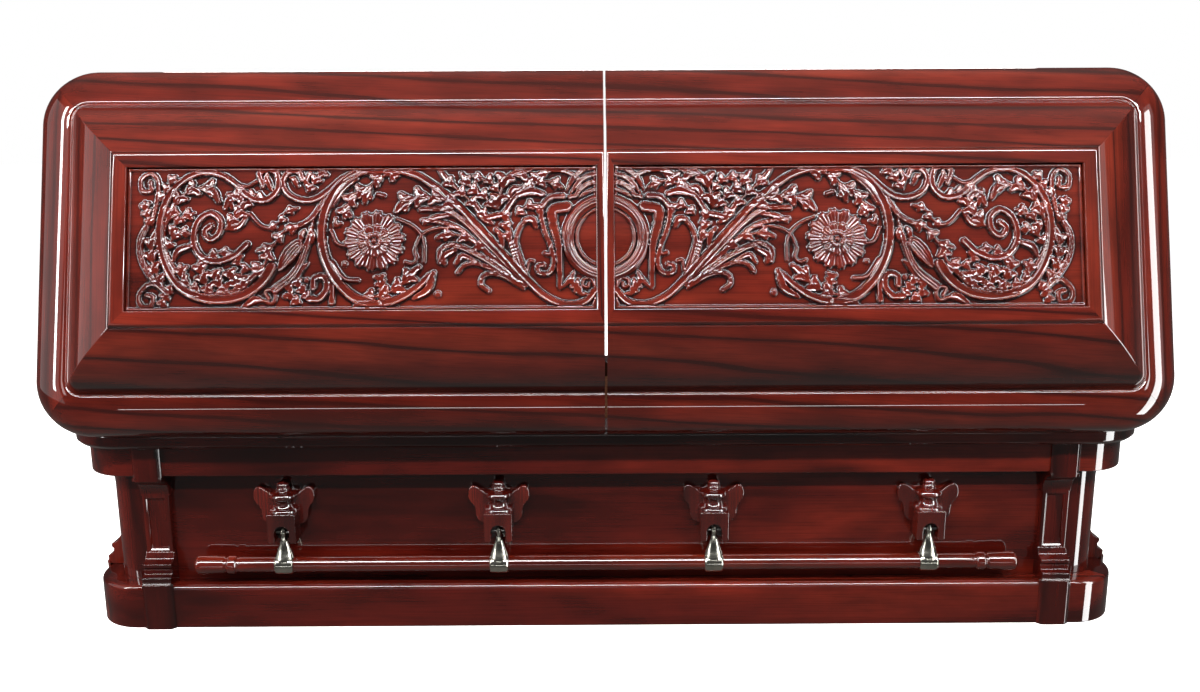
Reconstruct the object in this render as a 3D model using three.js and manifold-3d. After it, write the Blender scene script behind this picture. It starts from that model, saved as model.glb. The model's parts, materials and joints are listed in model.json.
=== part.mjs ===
// A lacquered mahogany funeral casket with two carved half lids standing open on their hinges.
// Millimetres. X runs along the casket, Y from the hinge side to the front side, Z up.
// The origin lies under the middle of the bottom board. The hinge side faces -Y.

import * as THREE from "three";
import { mergeVertices } from "three/addons/utils/BufferGeometryUtils.js";
import Module from "manifold-3d";

const wasm = await Module();
wasm.setup();

// Driving sizes
const bodyHalfLength = 993; // to the outside of the end panels
const bodyHalfWidth = 280; // to the outside of the side panels
const postRadius = 59; // rounding of the four corner posts
const boardThickness = 22;
const bottomThickness = 18;
const wallHeight = 375; // top of the panels and posts, where the rim starts
const clearance = 0.3; // between pieces that touch
const postReach = 88; // width of a corner post along each wall

const baseOut = 41; // how far the base moulding stands out from the panels
const baseHeight = 88;
const friezeOut = 39;
const friezeBottom = 314.5;
const rimOut = 61.5;
const rimTop = 411.5;
const rimStepOut = 54;
const rimStepHeight = rimTop - 9.5;

const pilasterAt = 104; // middle of a pilaster from the corner of the body
const pilasterWidth = 56;
const shaftWidth = 52;
const shaftOut = 15;
const topBlockOut = 47;
const footBlockOut = 50;

const earPlateThickness = 14;
const earBlockHalfWidth = 27.5;
const earBlockOut = 45;
const archHalfWidth = 14.6;
const barOut = 32; // axis of the bar from the panel
const barHeight = 130;
const barRadius = 15.6;
const barToPilaster = 49; // from the end of the bar to the pilaster beside it
const barHalfLength = bodyHalfLength - pilasterAt - pilasterWidth / 2 - barToPilaster;
const barOverhang = 176; // of the bar past its outer arms
const earXs = [-1, -1 / 3, 1 / 3, 1].map((share) => share * (barHalfLength - barOverhang));
const pinHeight = 197;
const collarHalfWidth = 18;
const collarRadius = 19.5;

const lidHalfLength = bodyHalfLength + 67;
const lidHalfWidth = bodyHalfWidth + 65;
const lidCornerRadius = 107;
const lidGap = 1; // under the closed lid
const lidHeight = 200;
const seamGap = 4.5; // between the two half lids
const grooveInset = 76;
const frameInset = 195.5;
const frameWidth = 24;
const frameEndExtra = 8; // the end slopes are this much wider than the long ones
const seamStripWidth = 13;
const recessDepth = 10;
const lidBoard = 24; // thickness of the frame and the carved panel
const openAngle = THREE.MathUtils.degToRad(75);
const hingeY = -(bodyHalfWidth + rimStepOut + 6);
const hingeZ = rimStepHeight + 6;
const hingeSpacing = 388;
const hingeXs = [-1.5, -0.5, 0.5, 1.5].map((place) => place * hingeSpacing);

// Materials
const gloss = { roughness: 0.12, metalness: 0 };
const mahogany = new THREE.MeshStandardMaterial({ name: "mahogany", color: 0x4a1712, ...gloss });
const lidMahogany = new THREE.MeshStandardMaterial({ name: "lid mahogany", color: 0x5c2018, ...gloss });
const bareWood = new THREE.MeshStandardMaterial({ name: "bare wood", color: 0x8a5a3a, roughness: 0.7 });
const nickel = new THREE.MeshStandardMaterial({ name: "nickel", color: 0xb9b8b0, roughness: 0.2, metalness: 1 });
const hingeSteel = new THREE.MeshStandardMaterial({ name: "hinge steel", color: 0x8c8a86, roughness: 0.35, metalness: 1 });

const casket = new THREE.Group();

// Adds a named mesh to a group.
function addPiece(name, geometry, material, group = casket) {
  const mesh = new THREE.Mesh(geometry, material);
  mesh.name = name;
  group.add(mesh);
  return mesh;
}

// Solids joined and cut with manifold-3d
function solidOf(geometry) {
  const bare = geometry.index ? geometry.clone() : geometry;
  for (const extra of ["normal", "uv"]) bare.deleteAttribute(extra);
  const merged = mergeVertices(bare, 1e-4);
  const mesh = new wasm.Mesh({
    numProp: 3,
    vertProperties: merged.attributes.position.array,
    triVerts: new Uint32Array(merged.index.array),
  });
  return new wasm.Manifold(mesh);
}

function geometryOf(solid) {
  const mesh = solid.getMesh();
  const geometry = new THREE.BufferGeometry();
  geometry.setAttribute("position", new THREE.BufferAttribute(mesh.vertProperties, 3));
  geometry.setIndex(new THREE.BufferAttribute(mesh.triVerts, 1));
  const flat = geometry.toNonIndexed();
  flat.computeVertexNormals();
  return flat;
}

function signedVolume(geometry) {
  const at = geometry.attributes.position;
  const index = geometry.index;
  const [a, b, c] = [new THREE.Vector3(), new THREE.Vector3(), new THREE.Vector3()];
  let volume = 0;
  for (let i = 0; i < index.count; i += 3) {
    a.fromBufferAttribute(at, index.getX(i));
    b.fromBufferAttribute(at, index.getX(i + 1));
    c.fromBufferAttribute(at, index.getX(i + 2));
    volume += a.dot(b.cross(c)) / 6;
  }
  return volume;
}

// Carries a closed profile through stations: place(station, point) gives the point in space.
function sweep(profile, stations, place) {
  const loop = THREE.ShapeUtils.area(profile) < 0 ? [...profile].reverse() : profile;
  const count = loop.length;
  const positions = stations.flatMap((station) => loop.flatMap((point) => place(station, point).toArray()));
  const indices = [];
  for (let k = 0; k + 1 < stations.length; k++) {
    for (let j = 0; j < count; j++) {
      const here = k * count + j;
      const beside = k * count + ((j + 1) % count);
      indices.push(here, beside, beside + count, here, beside + count, here + count);
    }
  }
  const last = (stations.length - 1) * count;
  for (const [a, b, c] of THREE.ShapeUtils.triangulateShape(loop, [])) {
    indices.push(a, c, b, last + a, last + b, last + c);
  }
  const geometry = new THREE.BufferGeometry();
  geometry.setAttribute("position", new THREE.Float32BufferAttribute(positions, 3));
  geometry.setIndex(indices);
  if (signedVolume(geometry) < 0) {
    for (let i = 0; i < indices.length; i += 3) [indices[i], indices[i + 1]] = [indices[i + 1], indices[i]];
    geometry.setIndex(indices);
  }
  return geometry;
}

const point = (u, v) => new THREE.Vector2(u, v);

function box(x0, x1, y0, y1, z0, z1) {
  const geometry = new THREE.BoxGeometry(x1 - x0, y1 - y0, z1 - z0);
  return geometry.translate((x0 + x1) / 2, (y0 + y1) / 2, (z0 + z1) / 2);
}

// Part of a circle from one direction to the next, in degrees.
function arc(u, v, radius, from, to, steps) {
  return Array.from({ length: steps + 1 }, (_, i) => {
    const angle = THREE.MathUtils.degToRad(from + ((to - from) * i) / steps);
    return point(u + radius * Math.cos(angle), v + radius * Math.sin(angle));
  });
}

// Mouldings that run round the body
// A place on the rounded outline of the body: the corner's signs, the direction outward and the distance out.
function outlinePlace({ sx, sy, angle }, out, z) {
  const reach = postRadius + out;
  const x = sx * (bodyHalfLength - postRadius) + reach * Math.cos(angle);
  const y = sy * (bodyHalfWidth - postRadius) + reach * Math.sin(angle);
  return new THREE.Vector3(x, y, z);
}

const cornerSteps = 3; // facets in half of a corner

function cornerStations(sx, sy, from, to, mitreStart, mitreEnd) {
  const mitreGap = 0.15;
  return Array.from({ length: cornerSteps + 1 }, (_, i) => {
    const turn = from + ((to - from) * i) / cornerSteps;
    const back = mitreStart && i === 0 ? mitreGap : mitreEnd && i === cornerSteps ? -mitreGap : 0;
    return { sx, sy, angle: THREE.MathUtils.degToRad(turn + back * Math.sign(to - from)) };
  });
}

// The four walls, each with the stations of its moulding from mitre to mitre.
const walls = {
  hinge: [...cornerStations(-1, -1, -135, -90, true, false), ...cornerStations(1, -1, -90, -45, false, true)],
  right: [...cornerStations(1, -1, -45, 0, true, false), ...cornerStations(1, 1, 0, 45, false, true)],
  front: [...cornerStations(1, 1, 45, 90, true, false), ...cornerStations(-1, 1, 90, 135, false, true)],
  left: [...cornerStations(-1, 1, 135, 180, true, false), ...cornerStations(-1, -1, 180, 225, false, true)],
};

function addMouldings(name, profile) {
  for (const [wall, stations] of Object.entries(walls)) {
    const geometry = sweep(profile, stations, (station, p) => outlinePlace(station, p.x, p.y));
    addPiece(name + "_" + wall, geometry, mahogany);
  }
}

const baseProfile = [
  point(clearance, 0),
  point(baseOut, 0),
  ...arc(baseOut - 8, baseHeight - 8, 8, 0, 90, 3),
  point(clearance, baseHeight),
];

const friezeProfile = [
  point(clearance, friezeBottom + 3),
  point(friezeOut - 3, friezeBottom + 3),
  point(friezeOut - 3, friezeBottom),
  point(friezeOut, friezeBottom + 1.5),
  point(friezeOut, wallHeight - clearance),
  point(clearance, wallHeight - clearance),
];

const rimProfile = [
  point(-boardThickness, wallHeight),
  point(rimOut - 7, wallHeight),
  point(rimOut, wallHeight + 7),
  point(rimOut, rimStepHeight),
  point(rimStepOut, rimStepHeight),
  point(rimStepOut, rimTop),
  point(-boardThickness, rimTop),
];

// The rim is one mitred frame that closes on itself.
function rimFrame() {
  const stations = Object.values(walls).flatMap((stations) => stations.slice(0, -1));
  const whole = stations.map(({ sx, sy, angle }) => {
    const quarter = Math.PI / 2;
    const nearest = Math.round((angle - quarter / 2) / quarter) * quarter + quarter / 2;
    const onMitre = Math.abs(angle - nearest) < 0.01;
    return { sx, sy, angle: onMitre ? nearest : angle };
  });
  const count = rimProfile.length;
  const indices = [];
  whole.forEach((_, k) => {
    for (let j = 0; j < count; j++) {
      const here = k * count + j;
      const beside = k * count + ((j + 1) % count);
      const step = ((k + 1) % whole.length) * count - k * count;
      indices.push(here, beside, beside + step, here, beside + step, here + step);
    }
  });
  const positions = whole.flatMap((station) =>
    rimProfile.flatMap((p) => outlinePlace(station, p.x, p.y).toArray()),
  );
  const geometry = new THREE.BufferGeometry();
  geometry.setAttribute("position", new THREE.Float32BufferAttribute(positions, 3));
  geometry.setIndex(indices);
  if (signedVolume(geometry) < 0) {
    for (let i = 0; i < indices.length; i += 3) [indices[i], indices[i + 1]] = [indices[i + 1], indices[i]];
    geometry.setIndex(indices);
  }
  return geometry;
}

// Extrudes an outline in plan from one height to another.
function standing(outline, z0, z1) {
  return sweep(outline, [z0, z1], (z, p) => new THREE.Vector3(p.x, p.y, z));
}

function cornerPost(sx, sy) {
  const [x, y] = [bodyHalfLength, bodyHalfWidth];
  const outline = [
    point(x - postReach, y - boardThickness),
    point(x - postReach, y),
    ...arc(x - postRadius, y - postRadius, postRadius, 90, 0, 6),
    point(x, y - postReach),
    point(x - boardThickness, y - postReach),
  ];
  return standing(outline.map((p) => point(sx * p.x, sy * p.y)), 0, wallHeight - clearance);
}

function bottomBoard() {
  const x = bodyHalfLength - boardThickness - clearance;
  const y = bodyHalfWidth - boardThickness - clearance;
  const cut = postReach - boardThickness + clearance;
  const outline = [
    [x, y - cut], [x - cut, y], [cut - x, y], [-x, y - cut],
    [-x, cut - y], [cut - x, -y], [x - cut, -y], [x, cut - y],
  ].map(([u, v]) => point(u, v));
  return standing(outline, 0, bottomThickness);
}

function addBody() {
  const panelX = bodyHalfLength - postReach - clearance;
  const panelY = bodyHalfWidth - postReach - clearance;
  const [outX, outY] = [bodyHalfLength, bodyHalfWidth];
  const top = wallHeight - clearance;
  const inX = outX - boardThickness;
  const inY = outY - boardThickness;
  addPiece("bottom_board", bottomBoard(), bareWood);
  addPiece("side_panel_hinge", box(-panelX, panelX, -outY, -inY, 0, top), mahogany);
  addPiece("side_panel_front", box(-panelX, panelX, inY, outY, 0, top), mahogany);
  addPiece("end_panel_left", box(-outX, -inX, -panelY, panelY, 0, top), mahogany);
  addPiece("end_panel_right", box(inX, outX, -panelY, panelY, 0, top), mahogany);
  for (const [yName, sy] of [["hinge", -1], ["front", 1]]) {
    for (const [xName, sx] of [["left", -1], ["right", 1]]) {
      addPiece(`corner_post_${yName}_${xName}`, cornerPost(sx, sy), mahogany);
    }
  }
  addMouldings("base_rail", baseProfile);
  addMouldings("frieze_rail", friezeProfile);
  addPiece("rim_frame", rimFrame(), mahogany);
}

// A pilaster, made on the front wall. Its profiles are pairs of the distance out from the wall and the height.
function widthExtrusion(profile, halfWidth) {
  return sweep(profile, [-halfWidth, halfWidth], (x, p) => new THREE.Vector3(x, p.x, p.y));
}

// A block whose upright front edges are chamfered.
function chamferedBlock(halfWidth, back, front, z0, z1, chamfer) {
  const plan = [
    point(-halfWidth, back),
    point(halfWidth, back),
    point(halfWidth, front - chamfer),
    point(halfWidth - chamfer, front),
    point(chamfer - halfWidth, front),
    point(-halfWidth, front - chamfer),
  ];
  return standing(plan, z0, z1);
}

function pilasterSolid() {
  const half = pilasterWidth / 2;
  const stackBottom = baseHeight + clearance;
  const coveTop = 306.5;
  const coveBottom = 267;
  const coveReach = topBlockOut - shaftOut;
  const friezeFront = friezeOut + clearance;
  const baseFront = baseOut + clearance;
  const footTop = 93;
  const cove = arc(topBlockOut, 0, coveReach, 180, 100, 4).map((p) =>
    point(p.x, coveBottom + (p.y * (coveTop - coveBottom)) / coveReach),
  );

  const capProfile = [
    point(clearance, coveBottom),
    ...cove,
    point(topBlockOut, coveTop),
    point(topBlockOut, friezeBottom - clearance),
    point(clearance, friezeBottom - clearance),
  ];
  const shaftBottom = 151;
  const footSteps = [[45, 96], [45, 106], [34, 111], [32, 121], [36, 125], [36, 131.5], [22, 137.5]];
  const footProfile = [
    point(clearance, stackBottom),
    point(footBlockOut - 2, stackBottom),
    point(footBlockOut - 2, footTop),
    ...footSteps.map(([out, z]) => point(out, z)),
    point(shaftOut, shaftBottom),
    point(clearance, shaftBottom),
  ];
  const shaft = box(-shaftWidth / 2, shaftWidth / 2, clearance, shaftOut, shaftBottom - 10, coveBottom + 10);
  const topBlock = chamferedBlock(half, friezeFront, topBlockOut + 2, coveTop, wallHeight - clearance, 7);
  const footBlock = chamferedBlock(half + 3, baseFront, footBlockOut, 0, footTop, 8);
  const footCap = box(-half, half, 20, footBlockOut - 4, stackBottom, footTop);
  const pieces = [
    solidOf(widthExtrusion(capProfile, half)),
    solidOf(widthExtrusion(footProfile, half)),
    solidOf(shaft),
    solidOf(topBlock),
    solidOf(footBlock),
    solidOf(footCap),
  ];
  const whole = wasm.Manifold.union(pieces);

  const recessHalf = 19;
  const recessSlope = 6;
  const recessProfile = [
    point(shaftOut + 1, shaftBottom + 2),
    point(shaftOut - recessSlope, shaftBottom + 9),
    point(shaftOut - recessSlope, coveBottom - 11),
    point(shaftOut + 1, coveBottom - 4),
  ];
  const recess = sweep(
    recessProfile,
    [-1, 1],
    (side, p) => new THREE.Vector3(side * (recessHalf - (shaftOut + 1 - p.x) * 0.5), p.x, p.y),
  );
  return whole.subtract(solidOf(recess));
}

// Turns a piece made on the front wall to any wall, by quarter turns and a shift.
function onWall(geometry, turn, x, y) {
  return geometry.clone().rotateZ(turn).translate(x, y, 0);
}

function addPilasters() {
  const pilaster = geometryOf(pilasterSolid());
  const alongX = bodyHalfLength - pilasterAt;
  const alongY = bodyHalfWidth - pilasterAt;
  for (const [xName, sx] of [["left", -1], ["right", 1]]) {
    addPiece(`pilaster_front_${xName}`, onWall(pilaster, 0, sx * alongX, bodyHalfWidth), mahogany);
    addPiece(`pilaster_hinge_${xName}`, onWall(pilaster, Math.PI, sx * alongX, -bodyHalfWidth), mahogany);
  }
  for (const [yName, sy] of [["hinge", -1], ["front", 1]]) {
    const quarter = Math.PI / 2;
    addPiece(`pilaster_left_${yName}`, onWall(pilaster, quarter, -bodyHalfLength, sy * alongY), mahogany);
    addPiece(`pilaster_right_${yName}`, onWall(pilaster, -quarter, bodyHalfLength, sy * alongY), mahogany);
  }
}

// The handles: wooden ears on the panels, a bar held by metal arms that swing on pins in the ears.
function lathe(profile, segments) {
  return new THREE.LatheGeometry(profile.map(([r, z]) => point(r, z)), segments).rotateX(Math.PI / 2);
}

function earSolid() {
  const waistHeight = 232;
  const wing = new THREE.Shape();
  wing.moveTo(-39, 205);
  wing.lineTo(39, 205);
  wing.quadraticCurveTo(41, 222, 46, waistHeight);
  wing.quadraticCurveTo(55, 248, 56, 262);
  wing.quadraticCurveTo(56, 277, 45, 281);
  wing.quadraticCurveTo(33, 276, 24, 265);
  wing.lineTo(-24, 265);
  wing.quadraticCurveTo(-33, 276, -45, 281);
  wing.quadraticCurveTo(-56, 277, -56, 262);
  wing.quadraticCurveTo(-55, 248, -46, waistHeight);
  wing.quadraticCurveTo(-41, 222, -39, 205);
  const outline = wing.getPoints(2).slice(0, -1);
  const plate = sweep(
    outline,
    [clearance, earPlateThickness],
    (out, p) => new THREE.Vector3(p.x, out, p.y),
  );
  const stack = lathe(
    [
      [0, 232], [29.5, 237], [17, 253], [25, 267], [13, 280], [14.5, 288], [0, 299],
    ],
    10,
  ).translate(0, earPlateThickness, 0);
  const archSpring = 198;
  const blockBottom = 178;
  const block = box(-earBlockHalfWidth, earBlockHalfWidth, clearance, earBlockOut, blockBottom, 237);
  const arch = [
    point(-archHalfWidth, blockBottom - 5),
    point(archHalfWidth, blockBottom - 5),
    ...arc(0, archSpring, archHalfWidth, 0, 180, 5),
  ];
  const archCut = sweep(arch, [14, earBlockOut + 5], (out, p) => new THREE.Vector3(p.x, out, p.y));
  const behindWall = box(-100, 100, -100, clearance, 100, 400);
  return wasm.Manifold.union([solidOf(plate), solidOf(stack), solidOf(block)])
    .subtract(solidOf(archCut))
    .subtract(solidOf(behindWall));
}

const barSegments = 10;

// A round bar along X whose radius follows the profile of [x, radius] pairs.
function barGeometry(profile) {
  return new THREE.LatheGeometry(profile.map(([x, r]) => point(r, x)), barSegments).rotateZ(-Math.PI / 2);
}

function handleBar() {
  const tip = [
    [0, 0], [1, 13], [8, 19], [58, 17], [62, 13.5],
    [65, 18.8], [79, 18.8], [83, 14], [87, barRadius],
  ];
  const left = tip.map(([x, r]) => [x - barHalfLength, r]);
  const right = [...tip].reverse().map(([x, r]) => [barHalfLength - x, r]);
  return barGeometry([...left, ...right]);
}

// The arm hangs from its pin. Each station of its shank is a height above the bar, a half width along X
// and a half depth.
function armSolid() {
  const shankSizes = [
    [8, 17, 18], [19, 15, 12.5], [27, 9.5, 7.5], [48, 4, 4], [66, 6, 5.5], [75, 3, 3],
  ];
  const ring = arc(0, 0, 1, 0, 300, 5);
  const shank = sweep(
    ring,
    shankSizes,
    ([height, wide, deep], p) => new THREE.Vector3(p.x * wide, p.y * deep, height),
  );
  const collar = barGeometry([
    [-collarHalfWidth, 0], [-collarHalfWidth, collarRadius],
    [collarHalfWidth, collarRadius], [collarHalfWidth, 0],
  ]);
  const pinHalf = archHalfWidth - 2 * clearance;
  const pin = new THREE.CylinderGeometry(3, 3, 2 * pinHalf, 6).rotateZ(Math.PI / 2);
  pin.translate(0, 0, pinHeight - barHeight);
  const bore = barGeometry([
    [-collarHalfWidth - 5, 0], [-collarHalfWidth - 5, barRadius + clearance],
    [collarHalfWidth + 5, barRadius + clearance], [collarHalfWidth + 5, 0],
  ]);
  return wasm.Manifold.union([solidOf(shank), solidOf(collar), solidOf(pin)]).subtract(solidOf(bore));
}

function addHandles() {
  const ear = geometryOf(earSolid());
  const bar = handleBar();
  const arm = geometryOf(armSolid());
  for (const [side, sy] of [["hinge", -1], ["front", 1]]) {
    const turn = sy < 0 ? Math.PI : 0;
    const barY = sy * (bodyHalfWidth + barOut);
    earXs.forEach((x, i) => {
      addPiece(`handle_ear_${side}_${i + 1}`, onWall(ear, turn, x, sy * bodyHalfWidth), mahogany);
      addPiece(`handle_arm_${side}_${i + 1}`, arm.clone().translate(x, barY, barHeight), nickel);
    });
    addPiece(`handle_bar_${side}`, bar.clone().translate(0, barY, barHeight), mahogany);
  }
}

function addHinges() {
  const barrelRadius = 3.5;
  const halfLength = 34;
  const leafTop = rimStepHeight + clearance + 2.5;
  const wall = -(bodyHalfWidth + rimStepOut) - clearance;
  hingeXs.forEach((x, i) => {
    const barrel = new THREE.CylinderGeometry(barrelRadius, barrelRadius, 2 * halfLength, 10);
    barrel.rotateZ(Math.PI / 2).translate(x, hingeY, hingeZ);
    const leaf = box(x - halfLength, x + halfLength, hingeY - 1, wall, rimStepHeight + clearance, leafTop);
    const neck = box(x - halfLength, x + halfLength, hingeY - 1, hingeY + 2, leafTop - 1, hingeZ);
    const solid = wasm.Manifold.union([solidOf(barrel), solidOf(leaf), solidOf(neck)]);
    addPiece(`hinge_${i + 1}`, geometryOf(solid), hingeSteel);
  });
}

// The lids. u runs from the seam to the end, v across from the hinge side, h up from the closed rim.
// An inset is the distance in from the outer face of the lid.
function endInset(inset) {
  const share = (inset - grooveInset) / (frameInset - grooveInset);
  return inset + frameEndExtra * THREE.MathUtils.clamp(share, 0, 1);
}

function lidPlace(side, { corner, angle, seam }, inset, h) {
  const radius = Math.max(lidCornerRadius - inset, 2);
  const v = lidHalfWidth - inset - radius;
  const direction = new THREE.Vector2(Math.cos(angle), Math.sin(angle)).multiplyScalar(radius);
  const u = seam ? seamGap / 2 : lidHalfLength - endInset(inset) - radius + direction.x;
  const place = new THREE.Vector3(side * u, corner * v + direction.y, h);
  return place.sub(new THREE.Vector3(0, hingeY, hingeZ - rimTop - lidGap));
}

function lidStations(corner, from, to, mitreStart, mitreEnd) {
  return cornerStations(0, 0, from, to, mitreStart, mitreEnd).map(({ angle }) => ({ corner, angle }));
}

const crowns = {
  hinge: [
    { corner: -1, angle: -Math.PI / 2, seam: true },
    ...lidStations(-1, -90, -45, false, true),
  ],
  end: [...lidStations(-1, -45, 0, true, false), ...lidStations(1, 0, 45, false, true)],
  front: [
    ...lidStations(1, 45, 90, true, false),
    { corner: 1, angle: Math.PI / 2, seam: true },
  ],
};

// The section of the lid's moulding: a round bead below, a groove, and a swelling slope up to the frame.
function crownProfile() {
  const beadStart = 34;
  const beadTop = 92;
  const bead = [0, 25, 50, 90].map((degrees) => {
    const angle = THREE.MathUtils.degToRad(degrees);
    return point((grooveInset - 3) * (1 - Math.cos(angle)), beadStart + (beadTop - beadStart) * Math.sin(angle));
  });
  const slopeTop = lidHeight - 7;
  const slope = new THREE.QuadraticBezierCurve(
    point(grooveInset + 4, beadTop + 1),
    point(grooveInset + 36, lidHeight - 36),
    point(frameInset - 5, slopeTop),
  ).getPoints(4);
  return [
    point(20, 0),
    point(6, 0),
    point(0, 6),
    ...bead,
    point(grooveInset, beadTop - 5),
    ...slope,
    point(frameInset - 5, lidHeight - lidBoard),
    point(136, lidHeight - lidBoard - 20),
    point(100, 80),
    point(40, 54),
    point(20, 30),
  ];
}

// The flat frame round the carving: four strips of one section, its outer edge sloped.
function frameSolid(side) {
  const outer = frameInset - 4.5;
  const frameU = lidHalfLength - frameInset - frameEndExtra;
  const frameV = lidHalfWidth - frameInset;
  const edge = frameInset - outer;
  const seamU = seamGap / 2;
  const low = lidHeight - lidBoard;
  const shoulder = lidHeight - 6.5;
  const block = (grow, z0, z1, shrink) =>
    sweep(
      [point(seamU, -frameV - grow), point(frameU + grow, -frameV - grow),
        point(frameU + grow, frameV + grow), point(seamU, frameV + grow)],
      [0, 1],
      (top, p) => {
        const inward = top ? shrink : 0;
        const u = p.x > seamU ? p.x - inward : p.x;
        return new THREE.Vector3(side * u, p.y - Math.sign(p.y) * inward, top ? z1 : z0);
      },
    );
  const slab = solidOf(block(edge, low, shoulder, 0));
  const top = solidOf(block(edge, shoulder - 0.5, lidHeight, edge));
  const inner = box(
    Math.min(side * (seamU + seamStripWidth), side * (frameU - frameWidth)),
    Math.max(side * (seamU + seamStripWidth), side * (frameU - frameWidth)),
    frameWidth - frameV,
    frameV - frameWidth,
    low - 5,
    lidHeight + 5,
  );
  return slab.add(top).subtract(solidOf(inner));
}

// The carving is laid out on a panel of this size: u from the seam, v up the open lid from the middle line.
// It stretches with the real panel. Each stroke is a band that follows a spine, swells and tapers, and
// stands up from the panel.
const carvingHeight = 7;
const layoutEnd = 832.2;
const layoutHalfWidth = 125.2;
const panelEnd = lidHalfLength - frameInset - frameEndExtra - frameWidth - clearance;
const panelHalfWidth = lidHalfWidth - frameInset - frameWidth - clearance;
const stretchU = panelEnd / layoutEnd;
const stretchV = panelHalfWidth / layoutHalfWidth;

// A spiral or part of a ring: angles in degrees, the radius and the half width change evenly along it.
function scroll(u, v, startRadius, startAngle, endRadius, endAngle, startWidth, endWidth) {
  const steps = Math.max(3, Math.ceil(Math.abs(endAngle - startAngle) / 52));
  const spine = Array.from({ length: steps + 1 }, (_, i) => {
    const t = i / steps;
    const angle = THREE.MathUtils.degToRad(startAngle + (endAngle - startAngle) * t);
    const radius = startRadius + (endRadius - startRadius) * t;
    return point(u + radius * Math.cos(angle), v + radius * Math.sin(angle));
  });
  return { spine, widthAt: (t) => startWidth + (endWidth - startWidth) * t };
}

// A leaf or stem through a few places, widest in its middle.
function leaf(places, width, tipWidth = 1.2) {
  const curve = new THREE.SplineCurve(places.map(([u, v]) => point(u, v)));
  const steps = Math.max(3, Math.round(curve.getLength() / 45));
  return {
    spine: curve.getSpacedPoints(steps),
    widthAt: (t) => tipWidth + (width - tipWidth) * Math.sin(Math.PI * Math.min(1, 0.15 + 0.85 * t)),
  };
}

function stem(places, startWidth, endWidth) {
  const curve = new THREE.SplineCurve(places.map(([u, v]) => point(u, v)));
  const steps = Math.max(3, Math.round(curve.getLength() / 45));
  return { spine: curve.getSpacedPoints(steps), widthAt: (t) => startWidth + (endWidth - startWidth) * t };
}

const rosetteAt = [402, -5];
const rosetteRadius = 53;

const strokes = [
  // the stem that rises from the seam and coils round the rosette
  stem([[20, -92], [44, -111], [85, -112], [129, -83], [188, -10], [250, 62], [318, 106], [386, 114]], 4, 8),
  scroll(393, 4, 110, 94, 106, -152, 8, 7),
  leaf([[372, -100], [345, -82], [325, -52], [304, -50]], 11),
  leaf([[384, 108], [424, 98], [449, 70], [463, 36]], 13),
  // plume leaves that spring from the stem
  leaf([[168, -34], [218, 18], [268, 52], [350, 50]], 15, 3),
  leaf([[282, 58], [310, 78], [346, 88]], 8),
  leaf([[150, -60], [200, -32], [258, -12], [285, -40]], 13, 3),
  leaf([[150, -74], [188, -54], [212, -62], [218, -82]], 8),
  scroll(256, -96, 27, 115, 6, 470, 5, 4),
  leaf([[214, 20], [224, 60], [232, 98], [250, 110]], 10),
  leaf([[248, 62], [272, 86], [288, 110]], 8),
  leaf([[170, 0], [166, 50], [164, 112]], 13),
  leaf([[176, 42], [158, 74], [126, 106], [84, 112], [48, 94]], 7, 3),
  scroll(57, 73, 15, 130, 5, 470, 4.5, 4),
  leaf([[146, -46], [158, -6], [146, 30], [124, 24]], 9),
  // the strap and shield round the medallion
  leaf([[74, 66], [104, 50], [104, 18], [82, -28], [80, -82]], 9, 3),
  scroll(109, -55, 17, 170, 5, 480, 4, 3),
  scroll(32, -80, 17, 60, 5, 420, 4.5, 3.5),
  leaf([[38, 82], [44, 98], [42, 114]], 6),
  // the stem that leaves the coil, with its paired scrolls under the upper edge
  stem([[452, 88], [486, 66], [520, 60], [548, 62]], 6, 5),
  scroll(545, 90, 28, -85, 12, 170, 6, 4.5),
  leaf([[548, 84], [528, 86], [508, 104]], 8),
  scroll(590, 91, 26, 300, 11, 40, 6, 4),
  leaf([[474, 76], [502, 40], [516, 10], [532, -14]], 6, 3),
  leaf([[510, 12], [548, -14], [582, -50], [622, -88]], 23, 4),
  leaf([[604, 20], [566, 26], [540, 52]], 7),
  scroll(592, 34, 15, -40, 12, 220, 4, 4),
  // the outer coil with its leaves
  scroll(690, 2, 124, 208, 96, 350, 12, 9),
  scroll(690, 2, 96, 350, 106, 474, 9, 6),
  leaf([[652, 98], [634, 76], [612, 64], [592, 66]], 7, 3),
  scroll(697, 2, 50, 215, 14, 560, 6, 4.5),
  scroll(636, -6, 20, 0, 18, 320, 4.5, 4.5),
  leaf([[656, 88], [642, 56], [654, 26], [674, 16]], 10),
  leaf([[760, 76], [728, 92], [694, 88], [682, 70]], 11),
  leaf([[780, -14], [758, 40], [722, 42]], 11),
  leaf([[688, -98], [714, -70], [706, -38]], 9),
  leaf([[728, -98], [760, -72], [757, -38]], 10),
  // the outermost leaf, corner curls and the small scrolls along the lower edge
  leaf([[796, 40], [818, 0], [814, -44], [784, -84]], 10, 3),
  stem([[798, 40], [790, 66], [788, 92]], 6, 4),
  scroll(805, 92, 18, 180, 7, -190, 4, 3.5),
  scroll(800, -100, 17, 120, 6, -200, 4.5, 3.5),
  scroll(495, -87, 20, 40, 16, 300, 5, 5),
  leaf([[503, -104], [524, -98], [544, -106]], 8),
  scroll(582, -96, 10, 0, 9, 330, 3.5, 3.5),
];

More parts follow.
